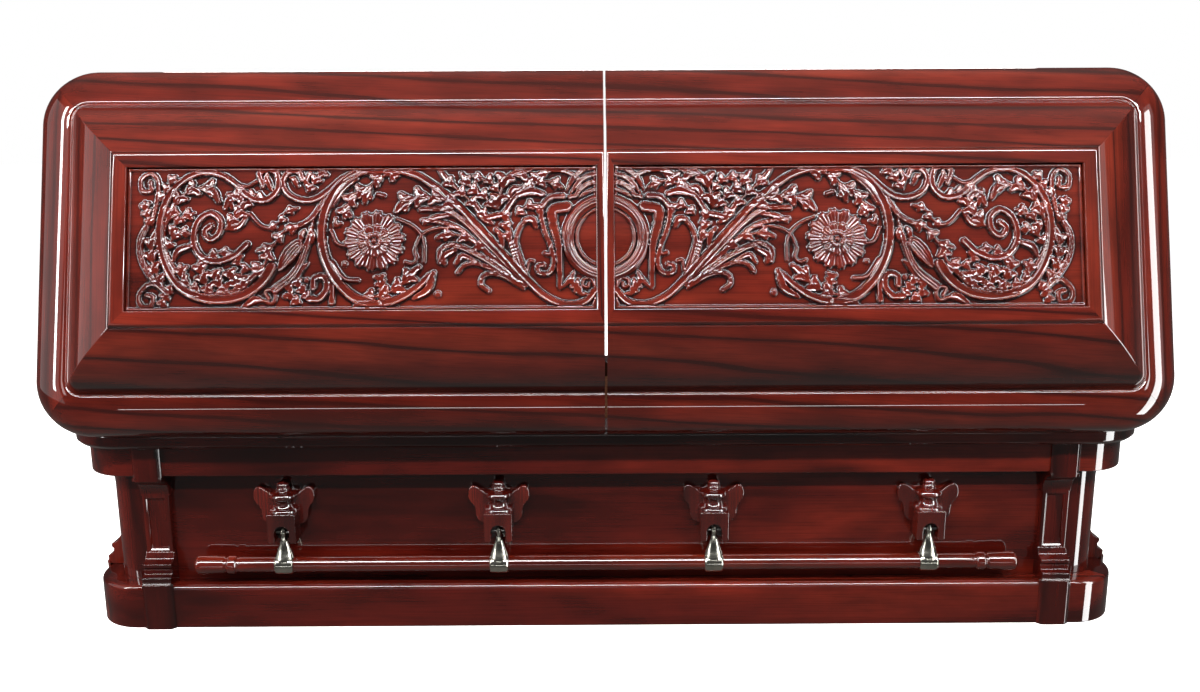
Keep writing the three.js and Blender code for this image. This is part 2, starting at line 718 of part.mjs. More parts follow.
function strokeSolid({ spine, widthAt }, side, base) {
  const count = spine.length - 1;
  const section = [point(-1, 0), point(1, 0), point(0, 1)];
  const stations = spine.map((place, i) => {
    const before = spine[Math.max(i - 1, 0)];
    const after = spine[Math.min(i + 1, count)];
    const along = after.clone().sub(before).normalize();
    const width = widthAt(i / count);
    return { place, across: point(-along.y, along.x), width, height: Math.min(carvingHeight, 2 + width) };
  });
  return solidOf(
    sweep(section, stations, ({ place, across, width, height }, p) => {
      const u = (place.x + across.x * p.x * width) * stretchU;
      const v = (place.y + across.y * p.x * width) * stretchV;
      return new THREE.Vector3(side * u, v, base - 1 + p.y * (height + 1));
    }),
  );
}

// A flower of notched petals round a raised eye.
function rosetteSolid(side, base) {
  const petals = 12;
  const outline = Array.from({ length: petals * 2 }, (_, i) => {
    const angle = (Math.PI * i) / petals;
    const radius = i % 2 ? rosetteRadius * 0.86 : rosetteRadius;
    return point(radius * Math.cos(angle), radius * Math.sin(angle));
  });
  const levels = [[1, -1], [0.7, 6], [0.3, 8]];
  const [u, v] = rosetteAt;
  return solidOf(
    sweep(outline, levels, ([scale, height], p) => {
      return new THREE.Vector3(side * (u + p.x * scale) * stretchU, (v + p.y * scale) * stretchV, base + height);
    }),
  );
}

// Half of the round medallion that the two lids share, cut off at the frame's strip.
function medallionSolid(side, base) {
  const rings = [[77, -1], [73, 7.5], [62, 8], [56, 3], [0, 5.5]];
  const dome = lathe([[0, -1], ...rings], 24).translate(0, 0, base);
  const seam = seamGap / 2 + seamStripWidth + 2 * clearance;
  const kept = box(Math.min(side * seam, side * 200), Math.max(side * seam, side * 200), -200, 200, 0, 400);
  return solidOf(dome).intersect(solidOf(kept));
}

function carvedPanel(side) {
  const base = lidHeight - recessDepth;
  const startU = seamGap / 2 + seamStripWidth + clearance;
  const board = box(
    Math.min(side * startU, side * panelEnd),
    Math.max(side * startU, side * panelEnd),
    -panelHalfWidth,
    panelHalfWidth,
    lidHeight - lidBoard,
    base,
  );
  const carving = strokes.map((stroke) => strokeSolid(stroke, side, base));
  const whole = wasm.Manifold.union([
    solidOf(board),
    ...carving,
    rosetteSolid(side, base),
    medallionSolid(side, base),
  ]);
  const limits = box(
    Math.min(side * startU, side * panelEnd),
    Math.max(side * startU, side * panelEnd),
    -panelHalfWidth,
    panelHalfWidth,
    0,
    lidHeight + 50,
  );
  return whole.intersect(solidOf(limits)).simplify(0.2);
}

function addLids() {
  const profile = crownProfile();
  for (const [name, side] of [["left", -1], ["right", 1]]) {
    const lid = new THREE.Group();
    lid.position.set(0, hingeY, hingeZ);
    lid.rotation.x = openAngle;
    casket.add(lid);
    const lift = [0, -hingeY, rimTop + lidGap - hingeZ];
    for (const [part, stations] of Object.entries(crowns)) {
      const place = (station, p) => lidPlace(side, station, p.x, p.y);
      addPiece(`lid_crown_${part}_${name}`, sweep(profile, stations, place), lidMahogany, lid);
    }
    addPiece(`lid_frame_${name}`, geometryOf(frameSolid(side)).translate(...lift), lidMahogany, lid);
    addPiece(`carved_panel_${name}`, geometryOf(carvedPanel(side)).translate(...lift), lidMahogany, lid);
  }
}

addBody();
addPilasters();
addHandles();
addHinges();
addLids();

export default casket;
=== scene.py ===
"""A lacquered mahogany funeral casket with two carved half lids standing open on their hinges.

Shapes are worked out in millimetres: X along the casket, Y from the hinge side to the front side, Z up.
"""
import json
import math

import bpy
import numpy as np
from mathutils import Matrix, Vector

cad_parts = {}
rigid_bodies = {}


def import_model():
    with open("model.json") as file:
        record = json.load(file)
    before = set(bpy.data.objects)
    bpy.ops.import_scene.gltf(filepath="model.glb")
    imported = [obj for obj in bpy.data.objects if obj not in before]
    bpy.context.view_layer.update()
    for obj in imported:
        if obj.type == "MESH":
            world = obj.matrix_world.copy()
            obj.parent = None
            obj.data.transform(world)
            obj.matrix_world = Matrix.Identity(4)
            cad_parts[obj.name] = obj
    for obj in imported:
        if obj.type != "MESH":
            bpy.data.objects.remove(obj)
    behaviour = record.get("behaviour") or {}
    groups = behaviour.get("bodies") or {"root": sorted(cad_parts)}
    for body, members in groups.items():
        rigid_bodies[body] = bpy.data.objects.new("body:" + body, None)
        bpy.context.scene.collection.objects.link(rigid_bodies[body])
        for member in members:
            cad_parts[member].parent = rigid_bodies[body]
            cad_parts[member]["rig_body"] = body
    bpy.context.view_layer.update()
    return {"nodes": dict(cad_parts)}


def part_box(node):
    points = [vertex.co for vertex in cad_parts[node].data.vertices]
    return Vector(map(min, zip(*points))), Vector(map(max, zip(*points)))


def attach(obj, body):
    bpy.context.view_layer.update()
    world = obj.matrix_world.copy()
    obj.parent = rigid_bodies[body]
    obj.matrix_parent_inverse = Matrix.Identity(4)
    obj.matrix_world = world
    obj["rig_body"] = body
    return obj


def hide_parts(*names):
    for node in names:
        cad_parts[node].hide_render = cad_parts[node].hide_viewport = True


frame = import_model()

MM = 0.001
AXIS_RADIUS = 0.05

# Body
HALF_LENGTH = 993
HALF_WIDTH = 280
POST_RADIUS = 59
BOARD = 22
WALL_HEIGHT = 375
GAP = 0.3
POST_REACH = 88
BASE_OUT = 41
BASE_HEIGHT = 88
BASE_ROUND = 8
FRIEZE_OUT = 39
FRIEZE_BOTTOM = 314.5
FRIEZE_NOSING = 3
RIM_OUT = 61.5
RIM_STEP_OUT = 54
RIM_STEP = 402
RIM_TOP = 411.5
RIM_CHAMFER = 7
PILASTER_AT = 104
PILASTER_HALF = 28

# Handles
EAR_XS = (-636, -212, 212, 636)
EAR_PLATE = 14
BAR_OUT = 32
BAR_HEIGHT = 130
BAR_RADIUS = 15.6
BAR_HALF = 812
PIN_HEIGHT = 197
COLLAR_HALF = 18

# Lids
LID_HALF_LENGTH = 1060
LID_HALF_WIDTH = 345
LID_CORNER = 107
LID_HEIGHT = 200
SEAM_GAP = 4.5
GROOVE_INSET = 76
BEAD_LOW = 34
BEAD_RISE = 58
SLOPE_START = (79, 92.6)
SLOPE_END = 190.5
FRAME_INSET = 195.5
FRAME_END_EXTRA = 8
FRAME_WIDTH = 24
FRAME_EDGE = 4.5
FRAME_DROP = 6.5
SEAM_STRIP = 13
LID_BOARD = 24
PANEL_GROUND = 190
OPEN_ANGLE = math.radians(75)
HINGE_Y = -340
HINGE_Z = 408
LID_LIFT = RIM_TOP + 1 - HINGE_Z
HINGE_XS = (-582, -194, 194, 582)


# Loops and rings
EASE_SHARE = 0.36
FLAT_START = 1.35
STRAIGHT = -0.94


def rounded(corners, radius, steps=3):
    """A closed loop with its corners eased.

    Each corner p becomes the quadratic curve from p + r a to p + r b, where a and b point along its
    two sides. One more point a little further along each side keeps the flats flat. A corner that is
    nearly straight isn't eased.
    """
    p = np.asarray(corners, float)
    back = np.roll(p, 1, 0) - p
    ahead = np.roll(p, -1, 0) - p
    back_length = np.linalg.norm(back, axis=1)
    ahead_length = np.linalg.norm(ahead, axis=1)
    a = back / back_length[:, None]
    b = ahead / ahead_length[:, None]
    reach = np.minimum(radius, EASE_SHARE * np.minimum(back_length, ahead_length))
    reach = np.where((a * b).sum(1) < STRAIGHT, 0, reach)[:, None, None]
    t = np.linspace(0, 1, steps + 1)[None, :, None]
    start = p[:, None] + a[:, None] * reach
    end = p[:, None] + b[:, None] * reach
    curve = (1 - t) ** 2 * start + 2 * t * (1 - t) * p[:, None] + t**2 * end
    before = p[:, None] + a[:, None] * reach * FLAT_START
    after = p[:, None] + b[:, None] * reach * FLAT_START
    loop = np.concatenate([before, curve, after], 1).reshape(-1, 2)
    apart = np.linalg.norm(loop - np.roll(loop, 1, 0), axis=1) > 1e-6
    return loop[apart]


def loop_area(loop):
    """Signed area by the shoelace sum."""
    x, y = loop.T
    return 0.5 * np.sum(x * np.roll(y, -1) - y * np.roll(x, -1))


def inset(loop, distance):
    """The loop moved inwards: each corner goes along its mitre, (n1 + n2) / (1 + n1.n2)."""
    side = np.roll(loop, -1, 0) - loop
    side = side / np.linalg.norm(side, axis=1)[:, None]
    normal = np.stack([-side[:, 1], side[:, 0]], 1) * np.sign(loop_area(loop))
    before = np.roll(normal, 1, 0)
    mitre = (normal + before) / (1 + (normal * before).sum(1))[:, None]
    return loop + mitre * distance


def arc(u, v, radius, start, end, steps):
    """Points u + r cos a, v + r sin a for angles in degrees."""
    angle = np.radians(np.linspace(start, end, steps + 1))
    return np.stack([u + radius * np.cos(angle), v + radius * np.sin(angle)], 1)


def signed_volume(points, faces):
    """Sum of the corner tetrahedra of each face's fan, a . (b x c) / 6."""
    total = 0.0
    for block in faces:
        fan = points[block]
        first = fan[:, :1]
        cross = np.cross(fan[:, 1:-1], fan[:, 2:])
        total += (first * cross).sum() / 6
    return total


def surface(rings, ring_on=False, looks=None):
    """A closed surface through rings of points (n, m, 3).

    Quads join ring i to ring i + 1, and one face closes each end, or the last ring joins the first.
    looks gives the material of the quads that start at each point of a ring.
    """
    rings = np.asarray(rings, float)
    n, m, _ = rings.shape
    index = np.arange(n * m).reshape(n, m)
    here = index if ring_on else index[:-1]
    there = np.roll(index, -1, 0) if ring_on else index[1:]
    quads = np.stack([here, np.roll(here, -1, 1), np.roll(there, -1, 1), there], -1).reshape(-1, 4)
    faces = [quads] if ring_on else [quads, index[:1, ::-1], index[-1:]]
    points = rings.reshape(-1, 3)
    if signed_volume(points, faces) < 0:
        faces = [block[:, ::-1] for block in faces]
    kinds = np.tile(np.zeros(m, int) if looks is None else looks, len(quads) // m)
    ends = np.zeros(sum(len(block) for block in faces[1:]), int)
    return points, faces, np.concatenate([kinds, ends])


def eased_levels(low, high, ease):
    """Insets and heights of a stack whose two ends are quarter rounds."""
    turn = np.radians([0, 30, 60, 90])
    end = [(1.25 * ease, 0)]
    end += [(ease * (1 - math.sin(a)), ease * (1 - math.cos(a))) for a in turn]
    end += [(0, 1.25 * ease)]
    return [(d, low + h) for d, h in end] + [(d, high - h) for d, h in reversed(end)]


def stacked(outline, levels, place):
    """A closed surface from one outline repeated at levels, each an inset and a height."""
    return surface([place(inset(outline, distance), height) for distance, height in levels])


def upright(loop, z):
    """A loop in plan, at a height."""
    return np.column_stack([loop, np.full(len(loop), z)])


def facing(loop, out):
    """A loop of (x, z) at a distance out from the wall."""
    return np.column_stack([loop[:, 0], np.full(len(loop), out), loop[:, 1]])


def sideways(loop, x):
    """A loop of (out, z) at a place along the wall."""
    return np.column_stack([np.full(len(loop), x), loop])


def turned(profile, segments, place):
    """A turned form: the point at distance h on the axis and radius r runs round a circle."""
    h, r = np.asarray(profile, float).T
    angle = np.linspace(0, 2 * math.pi, segments, endpoint=False)
    across = r[:, None] * np.cos(angle)
    up = r[:, None] * np.sin(angle)
    along = np.broadcast_to(h[:, None], across.shape)
    return surface(place(along, across, up))


def bar_profile(corners, ease, steps=4):
    """A turned profile with eased corners, closed on its axis by a very small flat."""
    ends = [(corners[0][0], AXIS_RADIUS), (corners[-1][0], AXIS_RADIUS)]
    loop = [ends[0], *corners, ends[1]]
    radius = np.array([0, *([ease] * len(corners)), 0])
    loop = rounded(loop, radius, steps)
    first = np.argmin(np.abs(loop - np.array(ends[0])).sum(1))
    return np.roll(loop, -first, 0)


def lying_at(x, y, z):
    """Takes a turned form to an axis that runs along X through a point."""

    def place(along, across, up):
        return np.stack([along + x, across + y, up + z], -1)

    return place


# Pieces
def moved(part, place):
    """The same part with its points passed through a function."""
    points, faces, looks = part
    return place(points), faces, looks


def shifted(part, by):
    """The same part moved by a step."""
    return moved(part, lambda points: points + by)


def add_piece(node, materials, parts, sharp=35):
    """One mesh from closed parts, riding on the body of the node that it stands for."""
    starts = np.cumsum([0] + [len(points) for points, _, _ in parts])
    points = np.concatenate([part[0] for part in parts]) * MM
    faces = []
    looks = []
    for (_, blocks, kinds), start in zip(parts, starts):
        faces += [row for block in blocks for row in (block + start).tolist()]
        looks.append(kinds)
    mesh = bpy.data.meshes.new(f"{node}_form")
    mesh.from_pydata(points.tolist(), [], faces)
    for material in materials:
        mesh.materials.append(material)
    mesh.polygons.foreach_set("material_index", np.concatenate(looks).astype(np.int32))
    mesh.polygons.foreach_set("use_smooth", np.ones(len(faces), bool))
    mesh.set_sharp_from_angle(angle=math.radians(sharp))
    mesh.update()
    made = bpy.data.objects.new(f"{node}_form", mesh)
    bpy.context.scene.collection.objects.link(made)
    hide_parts(node)
    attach(made, frame["nodes"][node]["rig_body"])
    return made


# Materials
def new_material(name):
    """A node material, its tree and its shader."""
    material = bpy.data.materials.new(name)
    material.use_nodes = True
    tree = material.node_tree
    return material, tree, tree.nodes["Principled BSDF"]


def set_sockets(made, values):
    """Constant values for a node's sockets, by name."""
    for socket, value in values.items():
        made.inputs[socket].default_value = value


def node_of(tree, kind, **values):
    """A shader node with its plain properties set, and its sockets by name."""
    made = tree.nodes.new(kind)
    for key, value in values.items():
        if key in made.inputs:
            made.inputs[key].default_value = value
        else:
            setattr(made, key, value)
    return made


def grey(value):
    """A colour with three equal parts."""
    return (value, value, value)


def ramp_of(tree, source, stops):
    """A colour ramp read by a value."""
    ramp = tree.nodes.new("ShaderNodeValToRGB")
    elements = ramp.color_ramp.elements
    while len(elements) < len(stops):
        elements.new(0.5)
    for element, (place, colour) in zip(elements, stops):
        element.position = place
        element.color = (*colour, 1)
    tree.links.new(source, ramp.inputs["Fac"])
    return ramp.outputs["Color"]


def mixed(tree, kind, factor, first, second):
    """Two colours mixed or multiplied."""
    mix = node_of(tree, "ShaderNodeMix", data_type="RGBA", blend_type=kind)
    for socket, value in ((mix.inputs[0], factor), (mix.inputs[6], first), (mix.inputs[7], second)):
        if isinstance(value, bpy.types.NodeSocket):
            tree.links.new(value, socket)
        elif isinstance(value, tuple):
            socket.default_value = (*value, 1)
        else:
            socket.default_value = value
    return mix.outputs[2]


# The turns that bring an axis to the first one
ALONG = {"X": (0, 0, 0), "Y": (0, 0, math.pi / 2), "Z": (0, math.pi / 2, 0)}


def grain(tree, along, lean, shift, slant=0.0):
    """Object coordinates turned so that the grain runs along the first axis."""
    place = tree.nodes.new("ShaderNodeTexCoord").outputs["Object"]
    stand = node_of(tree, "ShaderNodeMapping", Rotation=(-lean, 0, slant))
    turn = node_of(tree, "ShaderNodeMapping", Rotation=ALONG[along], Location=shift)
    tree.links.new(place, stand.inputs["Vector"])
    tree.links.new(stand.outputs["Vector"], turn.inputs["Vector"])
    return turn.outputs["Vector"]


def stretched(tree, place, scale):
    """The grain's coordinates at another scale on each axis."""
    mapping = node_of(tree, "ShaderNodeMapping", Scale=scale)
    tree.links.new(place, mapping.inputs["Vector"])
    return mapping.outputs["Vector"]


def noise(tree, place, scale, detail, distortion=0.0):
    """Smooth noise from 0 to 1."""
    made = node_of(tree, "ShaderNodeTexNoise", Scale=scale, Detail=detail, Distortion=distortion)
    tree.links.new(place, made.inputs["Vector"])
    return made.outputs["Fac"]


def streaks(tree, place, scale, detail, distortion=0.0):
    """Noise drawn out along the grain."""
    return noise(tree, stretched(tree, place, scale), 1.0, detail, distortion)


def bumped(tree, height, strength, distance):
    """The surface's direction, bent by a height."""
    bump = node_of(tree, "ShaderNodeBump", Strength=strength, Distance=distance)
    tree.links.new(height, bump.inputs["Height"])
    return bump.outputs["Normal"]


def lacquered_wood(
    name, along, tones, lean=0.0, shift=(0, 0, 0), lines=0.75, coat=1.58, carved=False, slant=0.0
):
    """Mahogany under thick clear lacquer.

    Broad bands and mottling come from stretched noise, the dark figure from long wavy bands, and the
    pores from very long thin noise. The lacquer is a clear coat with a slow ripple. Carved wood gets
    painted shade in its hollows, partly a darker glaze pooled there.
    """
    dark, middle, light, line = tones
    material, tree, shader = new_material(name)
    place = grain(tree, along, lean, shift, slant)

    bands = streaks(tree, place, (0.9, 9, 9), 3, 0.6)
    base = ramp_of(tree, bands, [(0.32, dark), (0.5, middle), (0.68, light)])
    mottle = streaks(tree, place, (7, 18, 18), 4)
    mottled = ramp_of(tree, mottle, [(0.33, (0.56, 0.52, 0.50)), (0.64, (1.22, 1.2, 1.14))])
    colour = mixed(tree, "MULTIPLY", 0.8, base, mottled)

    wave = node_of(tree, "ShaderNodeTexWave", wave_type="BANDS", bands_direction="Y", wave_profile="SIN")
    set_sockets(wave, {"Scale": 2.3, "Distortion": 7.5, "Detail": 3.0, "Detail Scale": 0.7})
    tree.links.new(stretched(tree, place, (0.5, 3.2, 3.2)), wave.inputs["Vector"])
    strengths = [(0.0, grey(lines)), (0.07, grey(lines * 0.45)), (0.3, grey(0))]
    figure = ramp_of(tree, wave.outputs["Fac"], strengths)
    colour = mixed(tree, "MIX", figure, colour, line)

    pores = streaks(tree, place, (7, 420, 420), 2)
    streak = ramp_of(tree, pores, [(0.35, (0.7, 0.66, 0.64)), (0.55, grey(1.04))])
    colour = mixed(tree, "MULTIPLY", 0.75, colour, streak)
    # Painted shade: the deeper a place lies below the mean height round it, the darker its colour, partly a
    # darker glaze pooled in the hollows.
    if carved:
        hollow = node_of(tree, "ShaderNodeAttribute", attribute_name="hollow").outputs["Fac"]
        painted_hollow_shade = ramp_of(tree, hollow, [(0.0, grey(1.0)), (0.7, (0.10, 0.07, 0.07))])
        colour = mixed(tree, "MULTIPLY", 1.0, colour, painted_hollow_shade)
    tree.links.new(colour, shader.inputs["Base Color"])

    ripple = streaks(tree, place, (3, 8, 8), 2)
    tree.links.new(bumped(tree, ripple, 0.2, 0.0006), shader.inputs["Coat Normal"])
    set_sockets(shader, {"Roughness": 0.38, "Specular IOR Level": 0.02})
    set_sockets(shader, {"Coat Weight": 1.0, "Coat Roughness": 0.02, "Coat IOR": coat})
    return material


def sealed_wood(name, along, lean=0.0):
    """The inner faces: plain mahogany with a thin matt sealer and open pores."""
    material, tree, shader = new_material(name)
    place = grain(tree, along, lean, (0.3, 0.1, 0.2))
    bands = streaks(tree, place, (1.2, 14, 14), 4, 0.4)
    tones = [(0.3, (0.13, 0.05, 0.026)), (0.52, (0.2, 0.085, 0.045)), (0.7, (0.26, 0.12, 0.066))]
    pores = streaks(tree, place, (9, 500, 500), 2)
    streak = ramp_of(tree, pores, [(0.36, (0.55, 0.5, 0.46)), (0.52, grey(1.0))])
    colour = mixed(tree, "MULTIPLY", 0.8, ramp_of(tree, bands, tones), streak)
    tree.links.new(colour, shader.inputs["Base Color"])
    rough = ramp_of(tree, pores, [(0.3, grey(0.7)), (0.6, grey(0.48))])
    tree.links.new(rough, shader.inputs["Roughness"])
    tree.links.new(bumped(tree, pores, 0.3, 0.0004), shader.inputs["Normal"])
    return material


def metal(name, bright, dull, low, high):
    """Metal whose roughness, from low to high, and tone vary with faint wiping marks."""
    material, tree, shader = new_material(name)
    place = grain(tree, "X", 0.0, (0, 0, 0))
    tone = ramp_of(tree, noise(tree, place, 45, 4), [(0.35, dull), (0.6, bright)])
    tree.links.new(tone, shader.inputs["Base Color"])
    marks = streaks(tree, place, (60, 900, 900), 3)
    rough = ramp_of(tree, marks, [(0.3, grey(low)), (0.75, grey(high))])
    tree.links.new(rough, shader.inputs["Roughness"])
    set_sockets(shader, {"Metallic": 1.0})
    return material


# Each wood's dark, middle and light bands and its dark figure
BODY_TONES = (
    (0.026, 0.0020, 0.0012),
    (0.064, 0.0046, 0.0026),
    (0.128, 0.0110, 0.0050),
    (0.010, 0.0010, 0.0008),
)
LID_TONES = (
    (0.058, 0.0050, 0.0026),
    (0.097, 0.0086, 0.0042),
    (0.136, 0.0150, 0.0068),
    (0.021, 0.0022, 0.0014),
)

body_x = lacquered_wood("mahogany along the sides", "X", BODY_TONES)
body_y = lacquered_wood("mahogany along the ends", "Y", BODY_TONES, shift=(0.4, 0.2, 0))
body_z = lacquered_wood("upright mahogany", "Z", BODY_TONES, shift=(0.1, 0.5, 0.3))
handle_wood = lacquered_wood(
    "turned mahogany", "X", LID_TONES, shift=(0.2, 0.07, 0.9), lines=0.4, coat=1.75
)
ear_wood = lacquered_wood(
    "carved ear mahogany", "Z", BODY_TONES, shift=(0.7, 0.2, 0.1), lines=0.4, coat=1.8
)
lid_x = lacquered_wood("lid mahogany along the sides", "X", LID_TONES, OPEN_ANGLE, lines=0.9, slant=0.06)
lid_y = lacquered_wood("lid mahogany along the ends", "Y", LID_TONES, OPEN_ANGLE, (0.3, 0.6, 0))
carved_wood = lacquered_wood(
    "carved mahogany", "X", LID_TONES, OPEN_ANGLE, (0, 0.4, 0.2), lines=0.35, coat=1.52, carved=True
)
inner_wood = sealed_wood("sealed inner mahogany", "X")
inner_lid_wood = sealed_wood("sealed mahogany inside the lids", "X", OPEN_ANGLE)
nickel = metal("polished nickel", (0.46, 0.45, 0.39), (0.34, 0.34, 0.29), 0.13, 0.24)
pin_steel = metal("dark pin steel", (0.12, 0.115, 0.11), (0.08, 0.08, 0.08), 0.3, 0.5)
hinge_steel = metal("satin hinge steel", (0.56, 0.55, 0.53), (0.42, 0.41, 0.40), 0.24, 0.42)


# The body's mouldings and posts
def corner_run(sx, sy, start, end, steps=14):
    """Half a corner: its signs and the outward directions in radians."""
    angle = np.radians(np.linspace(start, end, steps + 1))
    return [(sx, sy, a) for a in angle]


# The mitre's joint in degrees, and each wall's run from corner to corner
MITRE = 0.15
WALLS = {
    "hinge": corner_run(-1, -1, -135 + MITRE, -90) + corner_run(1, -1, -90, -45 - MITRE),
    "right": corner_run(1, -1, -45 + MITRE, 0) + corner_run(1, 1, 0, 45 - MITRE),
    "front": corner_run(1, 1, 45 + MITRE, 90) + corner_run(-1, 1, 90, 135 - MITRE),
    "left": corner_run(-1, 1, 135 + MITRE, 180) + corner_run(-1, -1, 180, 225 - MITRE),
}


def round_body(profile, stations):
    """Rings of a profile (out, z): the corner's centre plus (radius + out) times its direction."""
    sx, sy, angle = np.array(stations).T[:, :, None]
    reach = POST_RADIUS + profile[:, 0]
    x = sx * (HALF_LENGTH - POST_RADIUS) + reach * np.cos(angle)
    y = sy * (HALF_WIDTH - POST_RADIUS) + reach * np.sin(angle)
    z = np.broadcast_to(profile[:, 1], x.shape)
    return np.stack([x, y, z], -1)


def wall_wood(wall):
    """The wood whose grain runs along a wall."""
    return body_x if wall in ("hinge", "front") else body_y


base_corners = [
    (GAP, 0),
    (BASE_OUT, 0),
    *arc(BASE_OUT - BASE_ROUND, BASE_HEIGHT - BASE_ROUND, BASE_ROUND, 0, 90, 8),
    (GAP, BASE_HEIGHT),
]
frieze_corners = [
    (GAP, FRIEZE_BOTTOM + FRIEZE_NOSING),
    (FRIEZE_OUT - FRIEZE_NOSING, FRIEZE_BOTTOM + FRIEZE_NOSING),
    (FRIEZE_OUT - FRIEZE_NOSING, FRIEZE_BOTTOM),
    (FRIEZE_OUT, FRIEZE_BOTTOM + FRIEZE_NOSING / 2),
    (FRIEZE_OUT, WALL_HEIGHT - GAP),
    (GAP, WALL_HEIGHT - GAP),
]
rim_corners = [
    (-BOARD, WALL_HEIGHT),
    (RIM_OUT - RIM_CHAMFER, WALL_HEIGHT),
    (RIM_OUT, WALL_HEIGHT + RIM_CHAMFER),
    (RIM_OUT, RIM_STEP),
    (RIM_STEP_OUT, RIM_STEP),
    (RIM_STEP_OUT, RIM_TOP),
    (-BOARD, RIM_TOP),
]
for wall, stations in WALLS.items():
    for rail, corners in (("base_rail", base_corners), ("frieze_rail", frieze_corners)):
        rings = round_body(rounded(corners, 1.2), stations)
        add_piece(f"{rail}_{wall}", [wall_wood(wall)], [surface(rings)])

whole_corner = [
    *corner_run(-1, -1, -180, -90, 24),
    *corner_run(1, -1, -90, 0, 24),
    *corner_run(1, 1, 0, 90, 24),
    *corner_run(-1, 1, 90, 180, 24),
]
rim = surface(round_body(rounded(rim_corners, 1.6), whole_corner), ring_on=True)
add_piece("rim_frame", [body_x], [rim])

post_arc = arc(HALF_LENGTH - POST_RADIUS, HALF_WIDTH - POST_RADIUS, POST_RADIUS, 90, 0, 28)
post_plan = np.array(
    [
        (HALF_LENGTH - POST_REACH, HALF_WIDTH - BOARD),
        (HALF_LENGTH - POST_REACH, HALF_WIDTH),
        *post_arc,
        (HALF_LENGTH, HALF_WIDTH - POST_REACH),
        (HALF_LENGTH - BOARD, HALF_WIDTH - POST_REACH),
    ]
)
post_looks = np.zeros(len(post_plan), int)
post_looks[-1] = 1
for y_name, sy in (("hinge", -1), ("front", 1)):
    for x_name, sx in (("left", -1), ("right", 1)):
        plan = post_plan * (sx, sy)
        rings = [upright(plan, z) for z in (0, WALL_HEIGHT - GAP)]
        post = surface(rings, looks=post_looks)
        add_piece(f"corner_post_{y_name}_{x_name}", [body_z, inner_wood], [post])


def dress_panel(node, material):
    """A flat panel keeps its solid; its inner face gets the sealed wood."""
    made = frame["nodes"][node]
    made.data.materials.clear()
    made.data.materials.append(material)
    made.data.materials.append(inner_wood)
    low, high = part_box(node)
    across = 1 if high.x - low.x > high.y - low.y else 0
    sign = math.copysign(1, low[across] + high[across])
    for face in made.data.polygons:
        face.material_index = int(face.normal[across] * sign < -0.5)


for side in ("hinge", "front"):
    dress_panel(f"side_panel_{side}", body_x)
for end in ("left", "right"):
    dress_panel(f"end_panel_{end}", body_y)
bottom = frame["nodes"]["bottom_board"]
bottom.data.materials.clear()
bottom.data.materials.append(inner_wood)


# Pilasters, made on the front wall
def on_wall(wall, along):
    """Takes a part from (x, out, z) on the front wall to a wall, centred at a place along it."""

    def place(points):
        x, out, z = points[..., 0], points[..., 1], points[..., 2]
        if wall == "front":
            return np.stack([along + x, HALF_WIDTH + out, z], -1)
        if wall == "hinge":
            return np.stack([along - x, -HALF_WIDTH - out, z], -1)
        if wall == "left":
            return np.stack([-HALF_LENGTH - out, along + x, z], -1)
        return np.stack([HALF_LENGTH + out, along - x, z], -1)

    return place


def rectangle(half, low, high, ease=0.8, steps=2):
    """A rectangle with eased corners, centred across."""
    return rounded([(-half, low), (half, low), (half, high), (-half, high)], ease, steps)


def chamfered_plan(half, back, front, chamfer):
    """A block's plan with its two front corners cut off at 45 degrees."""
    near = [(-half, back), (half, back), (half, front - chamfer)]
    far = [(half - chamfer, front), (chamfer - half, front), (-half, front - chamfer)]
    return rounded(near + far, 1.8)


def pilaster_parts():
    """Top block, cove, recessed shaft, base mouldings and foot, each a closed form."""
    stack_low = BASE_HEIGHT + GAP
    foot_top = 93
    cove_low, cove_high = 267, 306.5
    shaft_out, block_out = 15, 47
    block_top = FRIEZE_BOTTOM - GAP
    reach = block_out - shaft_out
    cove = arc(0, 0, 1, 180, 100, 12) * (reach, cove_high - cove_low) + (block_out, cove_low)
    cap = [(GAP, cove_low), *cove, (block_out, cove_high), (block_out, block_top), (GAP, block_top)]
    foot = [
        (GAP, stack_low), (48, stack_low), (48, foot_top), (45, 96), (45, 106), (34, 111),
        (32, 121), (36, 125), (36, 131.5), (22, 137.5), (shaft_out, 151), (GAP, 151),
    ]
    across = eased_levels(-PILASTER_HALF, PILASTER_HALF, 0.8)
    parts = [stacked(rounded(corners, 1.6), across, sideways) for corners in (cap, foot)]
    shaft = [
        (rectangle(26, 141, 277), GAP),
        (rectangle(26, 141, 277), shaft_out - 1),
        (rectangle(25.7, 141.3, 276.7), shaft_out - 0.3),
        (rectangle(25, 142, 276), shaft_out),
        (rectangle(19.4, 153.2, 262.8), shaft_out),
        (rectangle(18.7, 153.9, 262.1), shaft_out - 0.4),
        (rectangle(15.7, 159.4, 256.6), shaft_out - 5.8),
        (rectangle(15.0, 160.2, 255.8), shaft_out - 6),
    ]
    parts.append(surface([facing(loop, out) for loop, out in shaft]))
    top_plan = chamfered_plan(PILASTER_HALF, FRIEZE_OUT + GAP, block_out + 2, 7)
    foot_plan = chamfered_plan(PILASTER_HALF + 3, BASE_OUT + GAP, 50, 8)
    plinth_plan = rectangle(PILASTER_HALF - 1, 20, 46, 1.8, 3)
    parts.append(stacked(top_plan, eased_levels(cove_high, WALL_HEIGHT - GAP, 1), upright))
    parts.append(stacked(foot_plan, eased_levels(0, foot_top, 0.9), upright))
    parts.append(stacked(plinth_plan, eased_levels(stack_low, foot_top, 1), upright))
    return parts


pilaster = pilaster_parts()
for ends, walls, half in (
    (("left", "right"), ("front", "hinge"), HALF_LENGTH),
    (("hinge", "front"), ("left", "right"), HALF_WIDTH),
):
    for end, sign in zip(ends, (-1, 1)):
        for wall in walls:
            place = on_wall(wall, sign * (half - PILASTER_AT))
            parts = [moved(part, place) for part in pilaster]
            add_piece(f"pilaster_{wall}_{end}", [body_z], parts)


